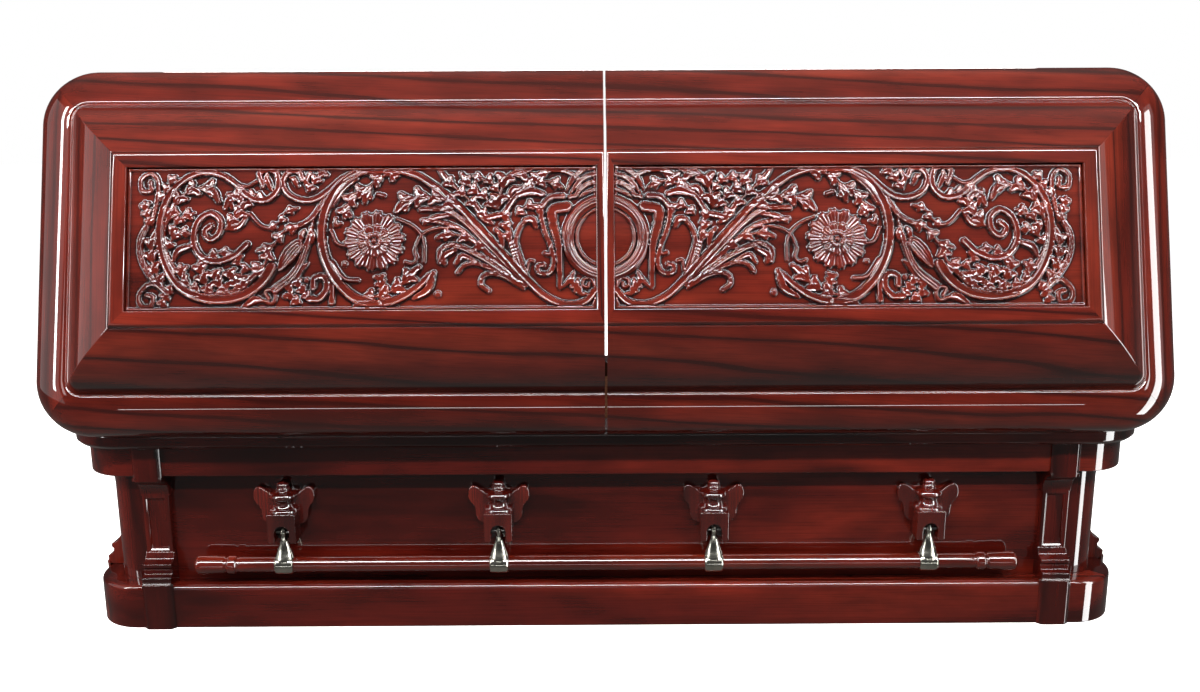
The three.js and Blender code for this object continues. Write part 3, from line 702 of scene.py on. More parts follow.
# Curves
def spline(places, step):
    """A uniform Catmull-Rom curve through places, with points about a step apart."""
    p = np.asarray(places, float)
    p = np.concatenate([[2 * p[0] - p[1]], p, [2 * p[-1] - p[-2]]])
    t = np.linspace(0, 1, 40, endpoint=False)[None, :, None]
    a, b, c, d = p[:-3, None], p[1:-2, None], p[2:-1, None], p[3:, None]
    curve = 0.5 * (2 * b + (c - a) * t + (2 * a - 5 * b + 4 * c - d) * t**2 + (3 * b - a - 3 * c + d) * t**3)
    curve = np.concatenate([curve.reshape(-1, 2), p[-2:-1]])
    run = np.concatenate([[0], np.cumsum(np.linalg.norm(np.diff(curve, axis=0), axis=1))])
    count = max(4, int(run[-1] / step))
    even = np.linspace(0, run[-1], count + 1)
    return np.stack([np.interp(even, run, curve[:, 0]), np.interp(even, run, curve[:, 1])], 1)


def quadratic(start, control, end, steps=8):
    """The quadratic curve from start to end with one control point, its first point left out."""
    t = np.linspace(0, 1, steps + 1)[1:, None]
    start, control, end = np.array(start), np.array(control), np.array(end)
    return (1 - t) ** 2 * start + 2 * t * (1 - t) * control + t**2 * end


def smooth_step(value):
    """The value v kept between 0 and 1 and eased at both ends: v squared times (3 - 2 v)."""
    value = np.clip(value, 0, 1)
    return value * value * (3 - 2 * value)


def towards(angle):
    """One step in a direction: (cos a, sin a)."""
    return np.array([math.cos(angle), math.sin(angle)])


# Handles
def ear_parts():
    """A winged back plate, a turned stack of rings and a block with an arch for the arm."""
    wing = [(31, 207)]
    for control, end in (
        ((45, 212), (46, 226)),
        ((45, 240), (54, 249)),
        ((61, 257), (60, 268)),
        ((59, 284), (49, 284)),
        ((39, 281), (25, 268)),
    ):
        wing += quadratic(wing[-1], control, end).tolist()
    wing = np.array(wing)
    outline = np.concatenate([wing, wing[::-1] * (-1, 1)])
    parts = [stacked(outline, eased_levels(GAP, EAR_PLATE, 1.6), facing)]

    rings = [
        (231, 20), (232, 27), (237, 29.5), (242, 27.5), (245, 20), (250, 17.5), (256, 18), (260, 21),
        (263, 25), (268, 26.5), (273, 24), (275.5, 15), (278, 12.5), (281, 13.6), (284, 12.4), (285.5, 10.5),
        (288, 12), (291, 12), (294.5, 9.5), (297, 5),
    ]

    def standing(along, across, up):
        return np.stack([across, np.maximum(EAR_PLATE + up, GAP), along], -1)

    parts.append(turned(bar_profile(rings, 2.2, 4), 40, standing))

    half, low, high, block_out = 27.5, 178, 237, 45
    arch_radius, arch_height = 14.6, 198
    arch = arc(0, arch_height, arch_radius, 0, 180, 20)
    gate = [(arch_radius, low), *arch, (-arch_radius, low)]
    gate += [(-half, low), (-half, high), (half, high), (half, low)]
    parts.append(stacked(rounded(gate, 3), eased_levels(EAR_PLATE - 0.5, block_out, 1.3), facing))
    parts.append(stacked(rectangle(half, low, high, 2.4, 3), eased_levels(GAP, EAR_PLATE, 0.5), facing))
    return parts


def arm_parts():
    """A bell-shaped arm with a knob at its pin, and a sleeve round the bar.

    The arm's sections are ellipses whose half width and half depth run smoothly with height.
    """
    stations = [
        (4, 18.4, 19.0), (12, 19.6, 18.4), (18, 18.6, 16.0), (26, 15.4, 12.0), (34, 12.2, 9.2),
        (42, 9.4, 7.2), (50, 7.2, 5.8), (57, 5.6, 5.0), (61.5, 5.0, 4.6), (63, 6.8, 6.2),
        (66, 6.9, 6.3), (68, 6.0, 5.6), (72, 5.4, 5.0), (75.5, 3.4, 3.2), (77.5, 1.0, 1.0),
    ]
    h, wide, deep = np.array(stations).T
    height = np.linspace(h[0], h[-1], 60)
    wide = np.interp(height, h, wide)
    deep = np.interp(height, h, deep)
    smooth = np.array([1, 2, 3, 2, 1]) / 9
    for _ in range(2):
        wide[2:-2] = np.convolve(wide, smooth, "valid")
        deep[2:-2] = np.convolve(deep, smooth, "valid")
    angle = np.linspace(0, 2 * math.pi, 28, endpoint=False)
    x = wide[:, None] * np.cos(angle)
    y = deep[:, None] * np.sin(angle)
    z = np.broadcast_to(height[:, None], x.shape)
    shank = surface(np.stack([x, y, z], -1))

    outer = [(-COLLAR_HALF, 17.2), (-15, 19.2), (0, 19.5), (15, 19.2), (COLLAR_HALF, 17.2)]
    inner = [(COLLAR_HALF, BAR_RADIUS + GAP), (-COLLAR_HALF, BAR_RADIUS + GAP)]
    loop = rounded(outer + inner, 0.8, 2)
    angle = np.linspace(0, 2 * math.pi, 48, endpoint=False)[:, None]
    x = np.broadcast_to(loop[:, 0], (48, len(loop)))
    rings = np.stack([x, loop[:, 1] * np.cos(angle), loop[:, 1] * np.sin(angle)], -1)
    sleeve = surface(rings, ring_on=True)

    pin_profile = bar_profile([(-14, 2.2), (14, 2.2)], 0.5)
    pin_points, pin_faces, pin_looks = turned(pin_profile, 16, lying_at(0, 0, PIN_HEIGHT - BAR_HEIGHT))
    return [shank, sleeve, (pin_points, pin_faces, pin_looks + 1)]


def bar_part():
    """The wooden bar, turned, with a collar and a swollen grip at each end."""
    tip = [
        (0, 13), (5, 18), (16, 19), (57, 17.2), (61, 13.8), (65.5, 18.4), (79, 18.4), (83, 14.2),
        (89, BAR_RADIUS),
    ]
    left = [(x - BAR_HALF, r) for x, r in tip]
    right = [(BAR_HALF - x, r) for x, r in reversed(tip)]
    return turned(bar_profile(left + right, 3.0, 5), 40, lying_at(0, 0, 0))


ear = ear_parts()
arm = arm_parts()
bar = bar_part()
for side, sy in (("hinge", -1), ("front", 1)):
    bar_place = np.array([0, sy * (HALF_WIDTH + BAR_OUT), BAR_HEIGHT])
    for number, x in enumerate(EAR_XS, 1):
        place = on_wall(side, x)
        fixed = [moved(part, place) for part in ear]
        add_piece(f"handle_ear_{side}_{number}", [ear_wood], fixed)
        hung = [shifted(part, bar_place + (x, 0, 0)) for part in arm]
        add_piece(f"handle_arm_{side}_{number}", [nickel, pin_steel], hung, sharp=50)
    add_piece(f"handle_bar_{side}", [handle_wood], [shifted(bar, bar_place)])


# Hinges
def hinge_parts(x):
    """A barrel of five knuckles, its leaf on the rim's step and the neck between them."""
    half, radius, groove = 34, 3.5, 0.5
    knuckles = np.linspace(-half, half, 6)
    profile = []
    for start, end in zip(knuckles[:-1], knuckles[1:]):
        profile += [(start + 0.3, radius - groove), (start + 0.8, radius)]
        profile += [(end - 0.8, radius), (end - 0.3, radius - groove)]
    barrel = turned(bar_profile(profile, 0.3, 2), 20, lying_at(x, HINGE_Y, HINGE_Z))

    leaf_low = RIM_STEP + GAP
    leaf_high = leaf_low + 2.5
    wall = -(HALF_WIDTH + RIM_STEP_OUT) - GAP
    leaf_plan = rectangle(half, HINGE_Y - 1, wall, 1.2, 3) + (x, 0)
    leaf = stacked(leaf_plan, eased_levels(leaf_low, leaf_high, 0.5), upright)
    neck_plan = rectangle(half, HINGE_Y - 1, HINGE_Y + 2, 0.8, 3) + (x, 0)
    neck = stacked(neck_plan, eased_levels(leaf_high - 1, HINGE_Z, 0.3), upright)
    return [barrel, leaf, neck]


for number, x in enumerate(HINGE_XS, 1):
    add_piece(f"hinge_{number}", [hinge_steel], hinge_parts(x))


# Lids
def opened(points):
    """From the closed lid's (x, v, h) to its place when open: turned about the hinge line."""
    y = points[..., 1] - HINGE_Y
    z = points[..., 2] + LID_LIFT
    c, s = math.cos(OPEN_ANGLE), math.sin(OPEN_ANGLE)
    return np.stack([points[..., 0], HINGE_Y + y * c - z * s, HINGE_Z + y * s + z * c], -1)


def lid_rings(side, profile, stations):
    """Rings of a profile (inset, h) round the lid's edge, its corners shrinking with the inset."""
    corner, angle, seam = np.array(stations, float).T[:, :, None]
    depth, h = profile.T
    share = np.clip((depth - GROOVE_INSET) / (FRAME_INSET - GROOVE_INSET), 0, 1)
    end_depth = depth + FRAME_END_EXTRA * share
    radius = np.maximum(LID_CORNER - depth, 2)
    v = LID_HALF_WIDTH - depth - radius
    u = np.where(seam, SEAM_GAP / 2, LID_HALF_LENGTH - end_depth - radius + radius * np.cos(angle))
    y = corner * v + radius * np.sin(angle)
    return opened(np.stack([side * u, y, np.broadcast_to(h, y.shape)], -1))


def lid_corner(corner, start, end, steps=16):
    """Stations round one corner: its sign, the outward direction and whether it stands at the seam."""
    return [(corner, a, 0) for a in np.radians(np.linspace(start, end, steps + 1))]


CROWNS = {
    "hinge": [(-1, -math.pi / 2, 1), *lid_corner(-1, -90, -45 - MITRE)],
    "end": [*lid_corner(-1, -45 + MITRE, 0), *lid_corner(1, 0, 45 - MITRE)],
    "front": [*lid_corner(1, 45 + MITRE, 90), (1, math.pi / 2, 1)],
}
bead_turn = np.radians(np.linspace(0, 90, 15))
bead_inset = (GROOVE_INSET - 3) * (1 - np.cos(bead_turn))
bead = np.stack([bead_inset, BEAD_LOW + BEAD_RISE * np.sin(bead_turn)], 1)
slope = quadratic(SLOPE_START, (112, 164), (SLOPE_END, 193), 24)
outside = [(6, 0), (0, 6), *bead, (GROOVE_INSET, 90.4), SLOPE_START, *slope]
inside = [(SLOPE_END, 176), (136, 156), (100, 80), (40, 54), (20, 30), (20, 0)]
crown_profile = rounded(outside + inside, 1.4)
# The inner faces start where the outer slope ends.
slope_end = int(np.argmax(crown_profile @ (1, 1)))
crown_looks = (np.arange(len(crown_profile)) > slope_end + 4).astype(int)


def frame_rings(side):
    """The flat frame: one section carried round four mitred corners.

    A section point near the outer edge keeps its distance from it, one near the inner edge from that.
    The strip at the seam is narrower and stands straight on its outer side.
    """
    strip = FRAME_WIDTH + FRAME_EDGE
    low, high = LID_HEIGHT - LID_BOARD, LID_HEIGHT
    corners = [(0, low), (0, high - FRAME_DROP), (FRAME_EDGE, high), (strip, high), (strip, low)]
    section = rounded(corners, 2.4)
    across, h = section.T
    outer = across < strip / 2
    half_u = LID_HALF_LENGTH - FRAME_INSET - FRAME_END_EXTRA
    half_v = LID_HALF_WIDTH - FRAME_INSET
    far = np.where(outer, half_u + FRAME_EDGE - across, half_u - FRAME_WIDTH + strip - across)
    wide = np.where(outer, half_v + FRAME_EDGE - across, half_v - FRAME_WIDTH + strip - across)
    seam = SEAM_GAP / 2
    near = np.where(outer, seam + np.maximum(across - FRAME_EDGE, 0), seam + SEAM_STRIP - strip + across)
    corners = ((near, -wide), (far, -wide), (far, wide), (near, wide))
    rings = np.stack([np.stack([side * u, v, h], -1) for u, v in corners])
    return opened(rings)


# Carving
PANEL_START = SEAM_GAP / 2 + SEAM_STRIP + GAP
PANEL_END = LID_HALF_LENGTH - FRAME_INSET - FRAME_END_EXTRA - FRAME_WIDTH - GAP
PANEL_HALF = LID_HALF_WIDTH - FRAME_INSET - FRAME_WIDTH - GAP
CARVING_STEP = 1.47
strokes = []


def stroke(spine, width, kind):
    """Keeps a line, its half width along it and the kind of its section for the carving."""
    strokes.append((np.asarray(spine, float), np.asarray(width, float), kind))


def stem(places, start_width, end_width):
    """A stem whose section is a channel between two raised edges."""
    spine = spline(places, 1.5)
    stroke(spine, np.linspace(start_width, end_width, len(spine)), "channel")


def roll(places, width):
    """A thin round tendril."""
    spine = spline(places, 1.5)
    stroke(spine, np.full(len(spine), width), "roll")


def blade(places, start_width, end_width):
    """A long blade with parallel flutes; its half width opens from 0.45 at the root by a smooth step."""
    spine = spline(places, 1.5)
    t = np.linspace(0, 1, len(spine))
    opening = 0.45 + 0.55 * smooth_step(t / 0.3)
    stroke(spine, (start_width + (end_width - start_width) * t) * opening, "flutes")


def lobe(places, width):
    """A small leaf with raised edges: its half width follows a sine, narrow at the root and full beyond."""
    spine = spline(places, 1.2)
    t = np.linspace(0, 1, len(spine))
    swell = np.sin(math.pi * (0.14 + 0.66 * t))
    stroke(spine, width * (0.2 + 0.8 * swell), "lobe")


def bud(u, v, radius):
    """A small round bud: a stroke of no length."""
    stroke(np.array([(u, v), (u, v)]), np.full(2, radius), "bud")


def shield(places, start_width, end_width):
    """A flat plate with raised edges, its half width even from start to end."""
    spine = spline(places, 1.5)
    stroke(spine, np.linspace(start_width, end_width, len(spine)), "plate")


def bell(places, start_width, end_width):
    """An oval with a rim and ribs along it: its half width follows an ellipse."""
    spine = spline(places, 1.5)
    t = np.linspace(0, 1, len(spine))
    swell = np.sqrt(np.clip(1 - (1.7 * t - 0.75) ** 2, 0.05, 1))
    stroke(spine, (start_width + (end_width - start_width) * t) * swell, "bell")


def acanthus(places, width, pairs=3):
    """A lobed leaf: a middle rib, pairs of round-tipped lobes that curl away from it, and one at its tip.

    The lobes leave the rib at 22 degrees and curl to 62, and their reach follows a sine along it.
    """
    leave, curl = math.radians(22), math.radians(62)
    spine = spline(places, 1.2)
    last = len(spine) - 1
    ahead = np.gradient(spine, axis=0)
    heading = np.unwrap(np.arctan2(ahead[:, 1], ahead[:, 0]))
    for number in range(pairs):
        t = 0.04 + 0.66 * number / (pairs - 1)
        at = int(t * last)
        reach = 1.35 * width * (0.62 + 0.38 * math.sin(math.pi * (0.2 + 0.6 * t)))
        for side in (-1, 1):
            middle = spine[at] + 0.66 * reach * towards(heading[at] + side * leave)
            end = middle + 0.42 * reach * towards(heading[at] + side * curl)
            lobe([spine[at], middle, end], 2.2 + 0.32 * width)
    t = np.linspace(0, 1, last + 1)
    stroke(spine, 1.7 + 0.12 * width * (1 - t), "rib")
    lobe([spine[int(0.66 * last)], spine[int(0.84 * last)], spine[last]], 2.2 + 0.30 * width)


# The drawing on the panel: u from the seam outwards, v up the open lid
def draw_main_stem():
    """The stem that rises from the seam and coils round the flower."""
    stem([(17, -91), (37, -112), (70, -117), (106, -102), (136, -74), (170, -37), (212, 9),
          (257, 57), (290, 85), (327, 109), (363, 119), (399, 119)], 6, 7)
    stem([(391, 119), (424, 117), (454, 99), (475, 74), (489, 42), (493, 4), (486, -35),
          (466, -74), (436, -103), (397, -117)], 7, 9)
    stem([(429, -120), (393, -115), (357, -105), (327, -86), (306, -66)], 9, 5)


def draw_plume():
    """Blades of the great plume."""
    blade([(138, -85), (170, -48), (212, -4), (248, 31), (281, 50), (321, 50)], 6, 5)
    blade([(142, -77), (182, -26), (230, 28), (266, 60), (296, 76)], 5, 4)
    blade([(145, -83), (188, -42), (230, -4), (260, 19), (290, 28), (318, 31)], 5, 4)
    acanthus([(257, 53), (287, 69), (321, 71), (348, 63), (363, 47)], 17, pairs=4)
    lobe([(266, 41), (296, 36), (315, 26)], 5)
    blade([(142, -88), (188, -51), (230, -26), (266, -13), (287, -23), (287, -42)], 6, 5)
    acanthus([(212, -20), (239, -2), (266, 6), (292, 0)], 11)
    lobe([(209, -32), (206, -20), (216, 1)], 4)
    blade([(157, -74), (194, -56), (224, -45), (245, -48), (257, -61)], 5, 4)
    lobe([(224, -42), (248, -32), (260, -45)], 5)
    lobe([(260, -20), (281, -32), (280, -45)], 6)
    blade([(142, -90), (170, -70), (194, -63), (212, -67), (216, -82), (203, -93)], 6, 4)
    blade([(136, -80), (154, -45), (165, -7), (170, 31)], 6, 4)
    blade([(133, -77), (148, -39), (156, -7), (148, 19), (133, 34)], 6, 4)
    acanthus([(170, -4), (173, 22), (176, 47)], 9)
    lobe([(179, -20), (182, 3), (191, 14)], 5)
    acanthus([(154, 41), (139, 53), (121, 57), (114, 41)], 9)
    lobe([(142, 31), (127, 31), (121, 19)], 6)
    roll([(136, -58), (133, -42), (126, -42)], 3)


def draw_arch_of_leaves():
    """The arch over the medallion with its leaves."""
    stem([(62, 71), (49, 76), (47, 101), (67, 115), (94, 118), (121, 108), (145, 85), (165, 60),
          (174, 44)], 4, 5)
    acanthus([(142, 82), (121, 95), (97, 98), (76, 88)], 10)
    acanthus([(100, 115), (121, 108), (136, 85)], 8)
    acanthus([(188, 53), (182, 82), (170, 108), (148, 115), (130, 122)], 17)
    lobe([(170, 66), (161, 85), (145, 85)], 6)
    lobe([(157, 73), (130, 80), (109, 76)], 7)
    acanthus([(194, 53), (212, 73), (233, 88), (251, 114)], 11, pairs=4)
    acanthus([(206, 34), (230, 60), (254, 82), (272, 98), (289, 120)], 11, pairs=4)
    acanthus([(188, 82), (200, 98), (218, 104), (230, 108)], 9)
    lobe([(197, 25), (212, 34), (230, 63)], 6)
    lobe([(170, 41), (191, 38), (212, 33)], 6)


def draw_strap_and_shield():
    """Strap and shield beside the medallion."""
    stem([(74, 72), (97, 69), (112, 47), (106, 12), (96, -13), (90, -42), (97, -61), (114, -63),
          (118, -51), (108, -48)], 5, 4)
    shield([(68, 53), (91, 47), (91, 22), (82, -13), (80, -51), (80, -86)], 10, 4)
    lobe([(80, -90), (65, -77), (55, -61)], 4)
    roll([(94, -16), (97, -29), (106, -28)], 3.5)
    lobe([(19, -109), (22, -118), (19, -109)], 3)


def draw_medallion_feathers():
    """The feathers over the medallion, the small spiral and the leaf under it."""
    blade([(66, 84), (56, 104), (38, 119), (20, 124)], 5, 5)
    blade([(60, 78), (48, 95), (34, 106), (18, 111)], 5, 5)
    blade([(54, 74), (42, 86), (30, 94), (17, 97)], 5, 5)
    blade([(46, 70), (36, 77), (27, 81), (17, 84)], 4, 4)
    roll([(20, -84), (27, -72), (38, -74), (40, -84), (31, -87), (29, -80)], 3)
    acanthus([(44, -98), (54, -84), (64, -72)], 8)
    lobe([(49, -74), (46, -96), (34, -99)], 4)


def draw_flower_tendrils():
    """Tendrils beside the flower."""
    roll([(257, 17), (290, 17), (318, 6), (331, -20), (328, -36), (336, -45), (348, -42)], 2.8)
    roll([(363, 33), (339, 23), (321, 6), (315, -16), (315, -42)], 2.8)


def draw_coil_leaves():
    """Leaves of the coil."""
    acanthus([(423, -105), (387, -99), (357, -83), (336, -61), (324, -51)], 15, pairs=4)
    acanthus([(381, -96), (390, -77), (390, -66)], 9)
    lobe([(333, -105), (309, -90), (299, -61)], 7)
    bud(291, -98, 6)
    acanthus([(357, 114), (390, 108), (411, 88), (419, 63)], 14)
    roll([(386, 74), (396, 77)], 4)
    acanthus([(415, 86), (433, 80), (448, 58), (453, 37)], 14)
    lobe([(433, 105), (457, 87), (475, 58)], 6)
    roll([(445, -14), (466, -9), (477, 13)], 3)
    roll([(430, -74), (454, -70), (475, -41)], 4)
    bud(453, -45, 5)
    lobe([(460, 26), (469, 23), (469, 35)], 4)
    bud(418, -47, 4)


def draw_paired_scrolls():
    """The stem that leaves the coil and its paired scrolls."""
    stem([(433, 117), (460, 103), (484, 82), (508, 68), (533, 68), (554, 80), (561, 101),
          (551, 117), (534, 117), (527, 104)], 6, 5)
    acanthus([(518, 83), (502, 106), (487, 119)], 10)
    lobe([(514, 84), (521, 100), (514, 116)], 5)
    lobe([(536, 91), (542, 104), (548, 107)], 5)
    stem([(596, 93), (602, 114), (587, 122), (572, 114), (570, 88), (587, 69), (611, 69), (629, 81)], 5, 6)
    lobe([(581, 85), (590, 105), (589, 114)], 5)
    roll([(638, 94), (623, 92), (608, 100)], 3.4)
    acanthus([(596, 74), (620, 81), (641, 91)], 7)


def draw_bell_and_stem():
    """The bell and its stem."""
    blade([(477, 87), (493, 61), (511, 36), (533, 23), (554, 20)], 6, 4)
    acanthus([(536, 20), (560, 11), (578, -12), (604, -21)], 10)
    blade([(508, 33), (521, -19), (539, -60), (572, -89)], 5, 8)
    lobe([(511, 14), (508, 4), (511, -6)], 5)
    lobe([(524, 14), (528, 7), (529, -2)], 5)
    bell([(534, -12), (548, -28), (566, -54)], 15, 9)
    lobe([(518, -44), (530, -57), (539, -76)], 5)
    bud(519, -73, 5)


def draw_hook_leaf():
    """The hooked leaf between the coils."""
    acanthus([(584, 19), (566, 30), (557, 45), (536, 53)], 7)
    roll([(578, 17), (599, 23), (619, 44)], 3.2)


def draw_outer_coil():
    """The outer coil."""
    stem([(626, 74), (644, 96), (669, 112), (696, 117), (723, 110), (747, 91), (765, 62),
          (774, 23), (771, -19), (756, -59), (732, -88), (696, -104), (656, -106), (620, -95),
          (593, -73), (579, -50)], 5, 9)
    stem([(759, 45), (767, 13), (762, -26), (747, -55)], 3, 5)
    blade([(753, -72), (720, -95), (681, -98), (638, -89), (608, -63)], 6, 5)
    acanthus([(762, 32), (744, 68), (717, 87), (687, 87), (673, 66)], 15, pairs=4)
    acanthus([(656, 22), (638, 44), (632, 66), (656, 78)], 14, pairs=4)
    lobe([(660, 18), (638, 21), (623, 41)], 5)
    lobe([(650, 54), (653, 70), (661, 54)], 6)
    acanthus([(756, 10), (741, 35), (717, 45)], 10)
    lobe([(744, 39), (750, 52), (752, 60)], 6)
    acanthus([(761, -16), (744, 10), (723, 9)], 9)
    lobe([(750, -36), (741, -20), (721, -12)], 6)


def draw_inner_spiral():
    """The inner spiral and its leaf."""
    stem([(623, -10), (644, -29), (675, -40), (702, -30), (715, -4), (709, 29), (687, 45),
          (669, 31), (672, 9), (687, -1), (696, 12), (687, 22)], 6, 5)
    acanthus([(705, -39), (687, -30), (672, -24), (650, -25)], 8)


def draw_standing_leaves():
    """Leaves that stand on the lower coil."""
    acanthus([(584, -18), (593, -47), (620, -69), (644, -63)], 13)
    acanthus([(626, -85), (644, -76), (653, -56)], 12)
    acanthus([(656, -95), (672, -75), (678, -56)], 12)
    acanthus([(684, -95), (696, -72), (705, -43)], 13)
    acanthus([(705, -91), (729, -75), (738, -46)], 12)
    acanthus([(602, -44), (620, -53), (638, -40), (632, -30)], 8)


def draw_corner_scrolls():
    """The outermost leaf and the corner scrolls."""
    blade([(782, 46), (797, 23), (808, -6), (803, -39), (783, -71), (759, -94)], 6, 6)
    acanthus([(768, -81), (783, -49), (789, -16), (780, 13)], 13, pairs=4)
    acanthus([(789, 26), (797, 46), (802, 65)], 9)
    acanthus([(774, 68), (762, 91), (750, 110)], 9)
    acanthus([(753, -81), (765, -104), (768, -117)], 9)
    stem([(788, 30), (780, 68), (779, 101), (792, 115), (808, 105), (806, 85), (791, 86), (792, 100)], 4, 4)
    stem([(774, -81), (792, -79), (808, -96), (805, -115), (788, -117), (784, -102), (795, -97)], 4, 4)


def draw_lower_scrolls():
    """Scrolls along the lower edge."""
    stem([(514, -105), (496, -105), (483, -86), (489, -67), (505, -70), (507, -86)], 6, 5)
    stem([(475, -112), (474, -83), (481, -61)], 5, 5)
    acanthus([(514, -105), (527, -89), (536, -73)], 9)
    acanthus([(530, -112), (545, -102), (551, -76)], 10)
    roll([(584, -105), (590, -92), (578, -90), (572, -102), (579, -113), (596, -108), (620, -116)], 3.5)
    lobe([(596, -108), (608, -105), (626, -118)], 6)


SCROLLWORK = (
    draw_main_stem,
    draw_plume,
    draw_arch_of_leaves,
    draw_strap_and_shield,
    draw_medallion_feathers,
    draw_flower_tendrils,
    draw_coil_leaves,
    draw_paired_scrolls,
    draw_bell_and_stem,
    draw_hook_leaf,
    draw_outer_coil,
    draw_inner_spiral,
    draw_standing_leaves,
    draw_corner_scrolls,
    draw_lower_scrolls,
)


# Heights over the panel's ground
LOWEST = 4.3
TALLEST = 8.6
TALL_SHARE = 0.42
WALL_WIDTH = 1.5
WALL_SHARE = 0.45
FLOWER_AT = (402, -5)
FLOWER_RADIUS = 53
MEDALLION_RADIUS = 77


def section_height(kind, s, t):
    """Height over a stroke's section, s from edge to edge and t along it, as a share of its full height.

    A stem is flat between two lips, a high power of s. A blade is fluted by a power of a cosine, a leaf
    has lips and a narrow vein, a tendril is half an ellipse and a bud a dome with a dimple. A bell has
    lips and ribs.
    """
    rim = np.clip(np.abs(s) / 0.78, 0, 1)
    if kind == "bud":
        return 1.05 - 0.45 * s**2 - 0.5 * np.exp(-((s / 0.3) ** 2))
    if kind == "roll":
        return 0.95 * np.sqrt(1 - 0.9 * s**2)
    if kind == "channel":
        return 0.70 + 0.30 * rim**6
    if kind == "flutes":
        return 0.70 + 0.30 * np.cos(1.5 * math.pi * s) ** 6
    if kind == "lobe":
        vein = np.exp(-((s / 0.14) ** 2))
        return (0.80 + 0.20 * rim**8 - 0.08 * vein) * (0.95 + 0.05 * t)
    if kind == "rib":
        return 0.98 - 0.25 * s**2
    if kind == "plate":
        return 0.76 + 0.20 * rim**8
    return 0.60 + 0.40 * rim**6 + 0.26 * np.cos(2.5 * math.pi * s) ** 2 * (1 - rim**4)


def carve(height, grid_u, grid_v, spine, width, kind):
    """Raises the ground to one stroke wherever the stroke stands higher.

    Each place takes the nearest point of the stroke. Its side wall is a quarter round near the edge,
    its height grows with the stroke's half width, and the section shapes its top.
    """
    margin = width.max() + 2
    low = spine.min(0) - margin
    high = spine.max(0) + margin
    columns = np.flatnonzero((grid_u[0] > low[0]) & (grid_u[0] < high[0]))
    rows = np.flatnonzero((grid_v[:, 0] > low[1]) & (grid_v[:, 0] < high[1]))
    if not len(columns) or not len(rows):
        return
    area = np.ix_(rows, columns)
    place = np.stack([grid_u[area], grid_v[area]], -1).reshape(-1, 2)
    gap = ((place[:, None] - spine[None]) ** 2).sum(-1)
    reach = np.sqrt(gap) / width
    nearest = reach.argmin(1)
    near = np.minimum(reach[np.arange(len(place)), nearest], 1)
    along = np.gradient(spine, axis=0)
    along = along / np.maximum(np.linalg.norm(along, axis=1), 1e-9)[:, None]
    offset = place - spine[nearest]
    side = along[nearest, 0] * offset[:, 1] - along[nearest, 1] * offset[:, 0]
    here = width[nearest]
    t = nearest / (len(spine) - 1)
    edge = np.clip((1 - near) * here / np.minimum(WALL_WIDTH, WALL_SHARE * here), 0, 1)
    wall = np.sqrt(1 - (1 - edge) ** 2)
    tall = np.minimum(TALLEST, LOWEST + TALL_SHARE * here)
    raised = wall * tall * section_height(kind, np.sign(side) * near, t)
    height[area] = np.maximum(height[area], raised.reshape(len(rows), len(columns)))


def rosette(grid_u, grid_v, u, v, radius):
    """A flower: three tiers of notched petals that sink towards a domed eye.

    A tier's edge is its reach less a share that follows the cosine of its petals, its rise goes from
    inner to outer with the square of the distance, and the cosine furrows each petal.
    """
    x, y = grid_u - u, grid_v - v
    r = np.hypot(x, y)
    angle = np.arctan2(y, x)
    eye_radius, eye_height = 6.5, 8.2
    tiers = ((14, 1.0, 0.1, 4.6, 6.0), (9, 0.56, 0.25, 6.4, 7.8), (5, 0.30, 0.5, 7.8, 9.0))

    flower = np.zeros_like(r)
    for count, share, turn, inner, outer in tiers:
        reach = radius * share
        swing = count * (angle + turn)
        petal = np.abs(np.cos(swing / 2))
        edge = reach * (0.84 + 0.16 * petal**0.6 - 0.03 * np.cos(3 * swing))
        rim = np.clip((edge - r) / 2.0, 0, 1)
        rise = inner + (outer - inner) * np.clip(r / reach, 0, 1) ** 2
        furrow = 0.80 + 0.20 * petal**0.5 + 0.10 * np.cos(3 * swing)
        flower = np.maximum(flower, np.sqrt(1 - (1 - rim) ** 2) * rise * furrow)
    flower = flower * (0.55 + 0.45 * smooth_step((r - 5.5) / 3))
    eye = eye_height * np.sqrt(np.clip(1 - (r / eye_radius) ** 2, 0, 1))
    return np.maximum(flower, eye)


def medallion(grid_u, grid_v):
    """Half of a round shield: a wide torus with fine turned lines, a bright ring and a domed disc.

    Each is a function of the distance r from the seam's middle: the torus a root of a sine with a
    cosine ripple, the ring and the disc quarter circles.
    """
    torus_start, torus_width, torus_height = 57, 19, 7.4
    ring_radius, ring_half, ring_height = 50.5, 3.2, 7.0
    disc_radius, dome_radius, disc_height = 48, 60, 5.2
    r = np.hypot(grid_u, grid_v)
    across = np.clip((r - torus_start) / torus_width, 0, 1)
    torus = np.where(r < MEDALLION_RADIUS, torus_height * np.sin(math.pi * (0.12 + 0.80 * across)) ** 0.5, 0)
    torus = torus * (0.92 + 0.15 * np.cos(2 * math.pi * across * 4))
    outer_fall = np.clip((MEDALLION_RADIUS - r) / 2.2, 0, 1) ** 0.5
    inner_fall = np.clip((r - 54) / 2.5, 0, 1) ** 0.5
    torus = torus * outer_fall * inner_fall
    ring = ring_height * np.sqrt(np.clip(1 - ((r - ring_radius) / ring_half) ** 2, 0, 1))
    disc = disc_height * np.sqrt(np.clip(1 - (r / dome_radius) ** 2, 0, 1)) * (r < disc_radius)
    return np.maximum(np.maximum(torus, ring), disc)


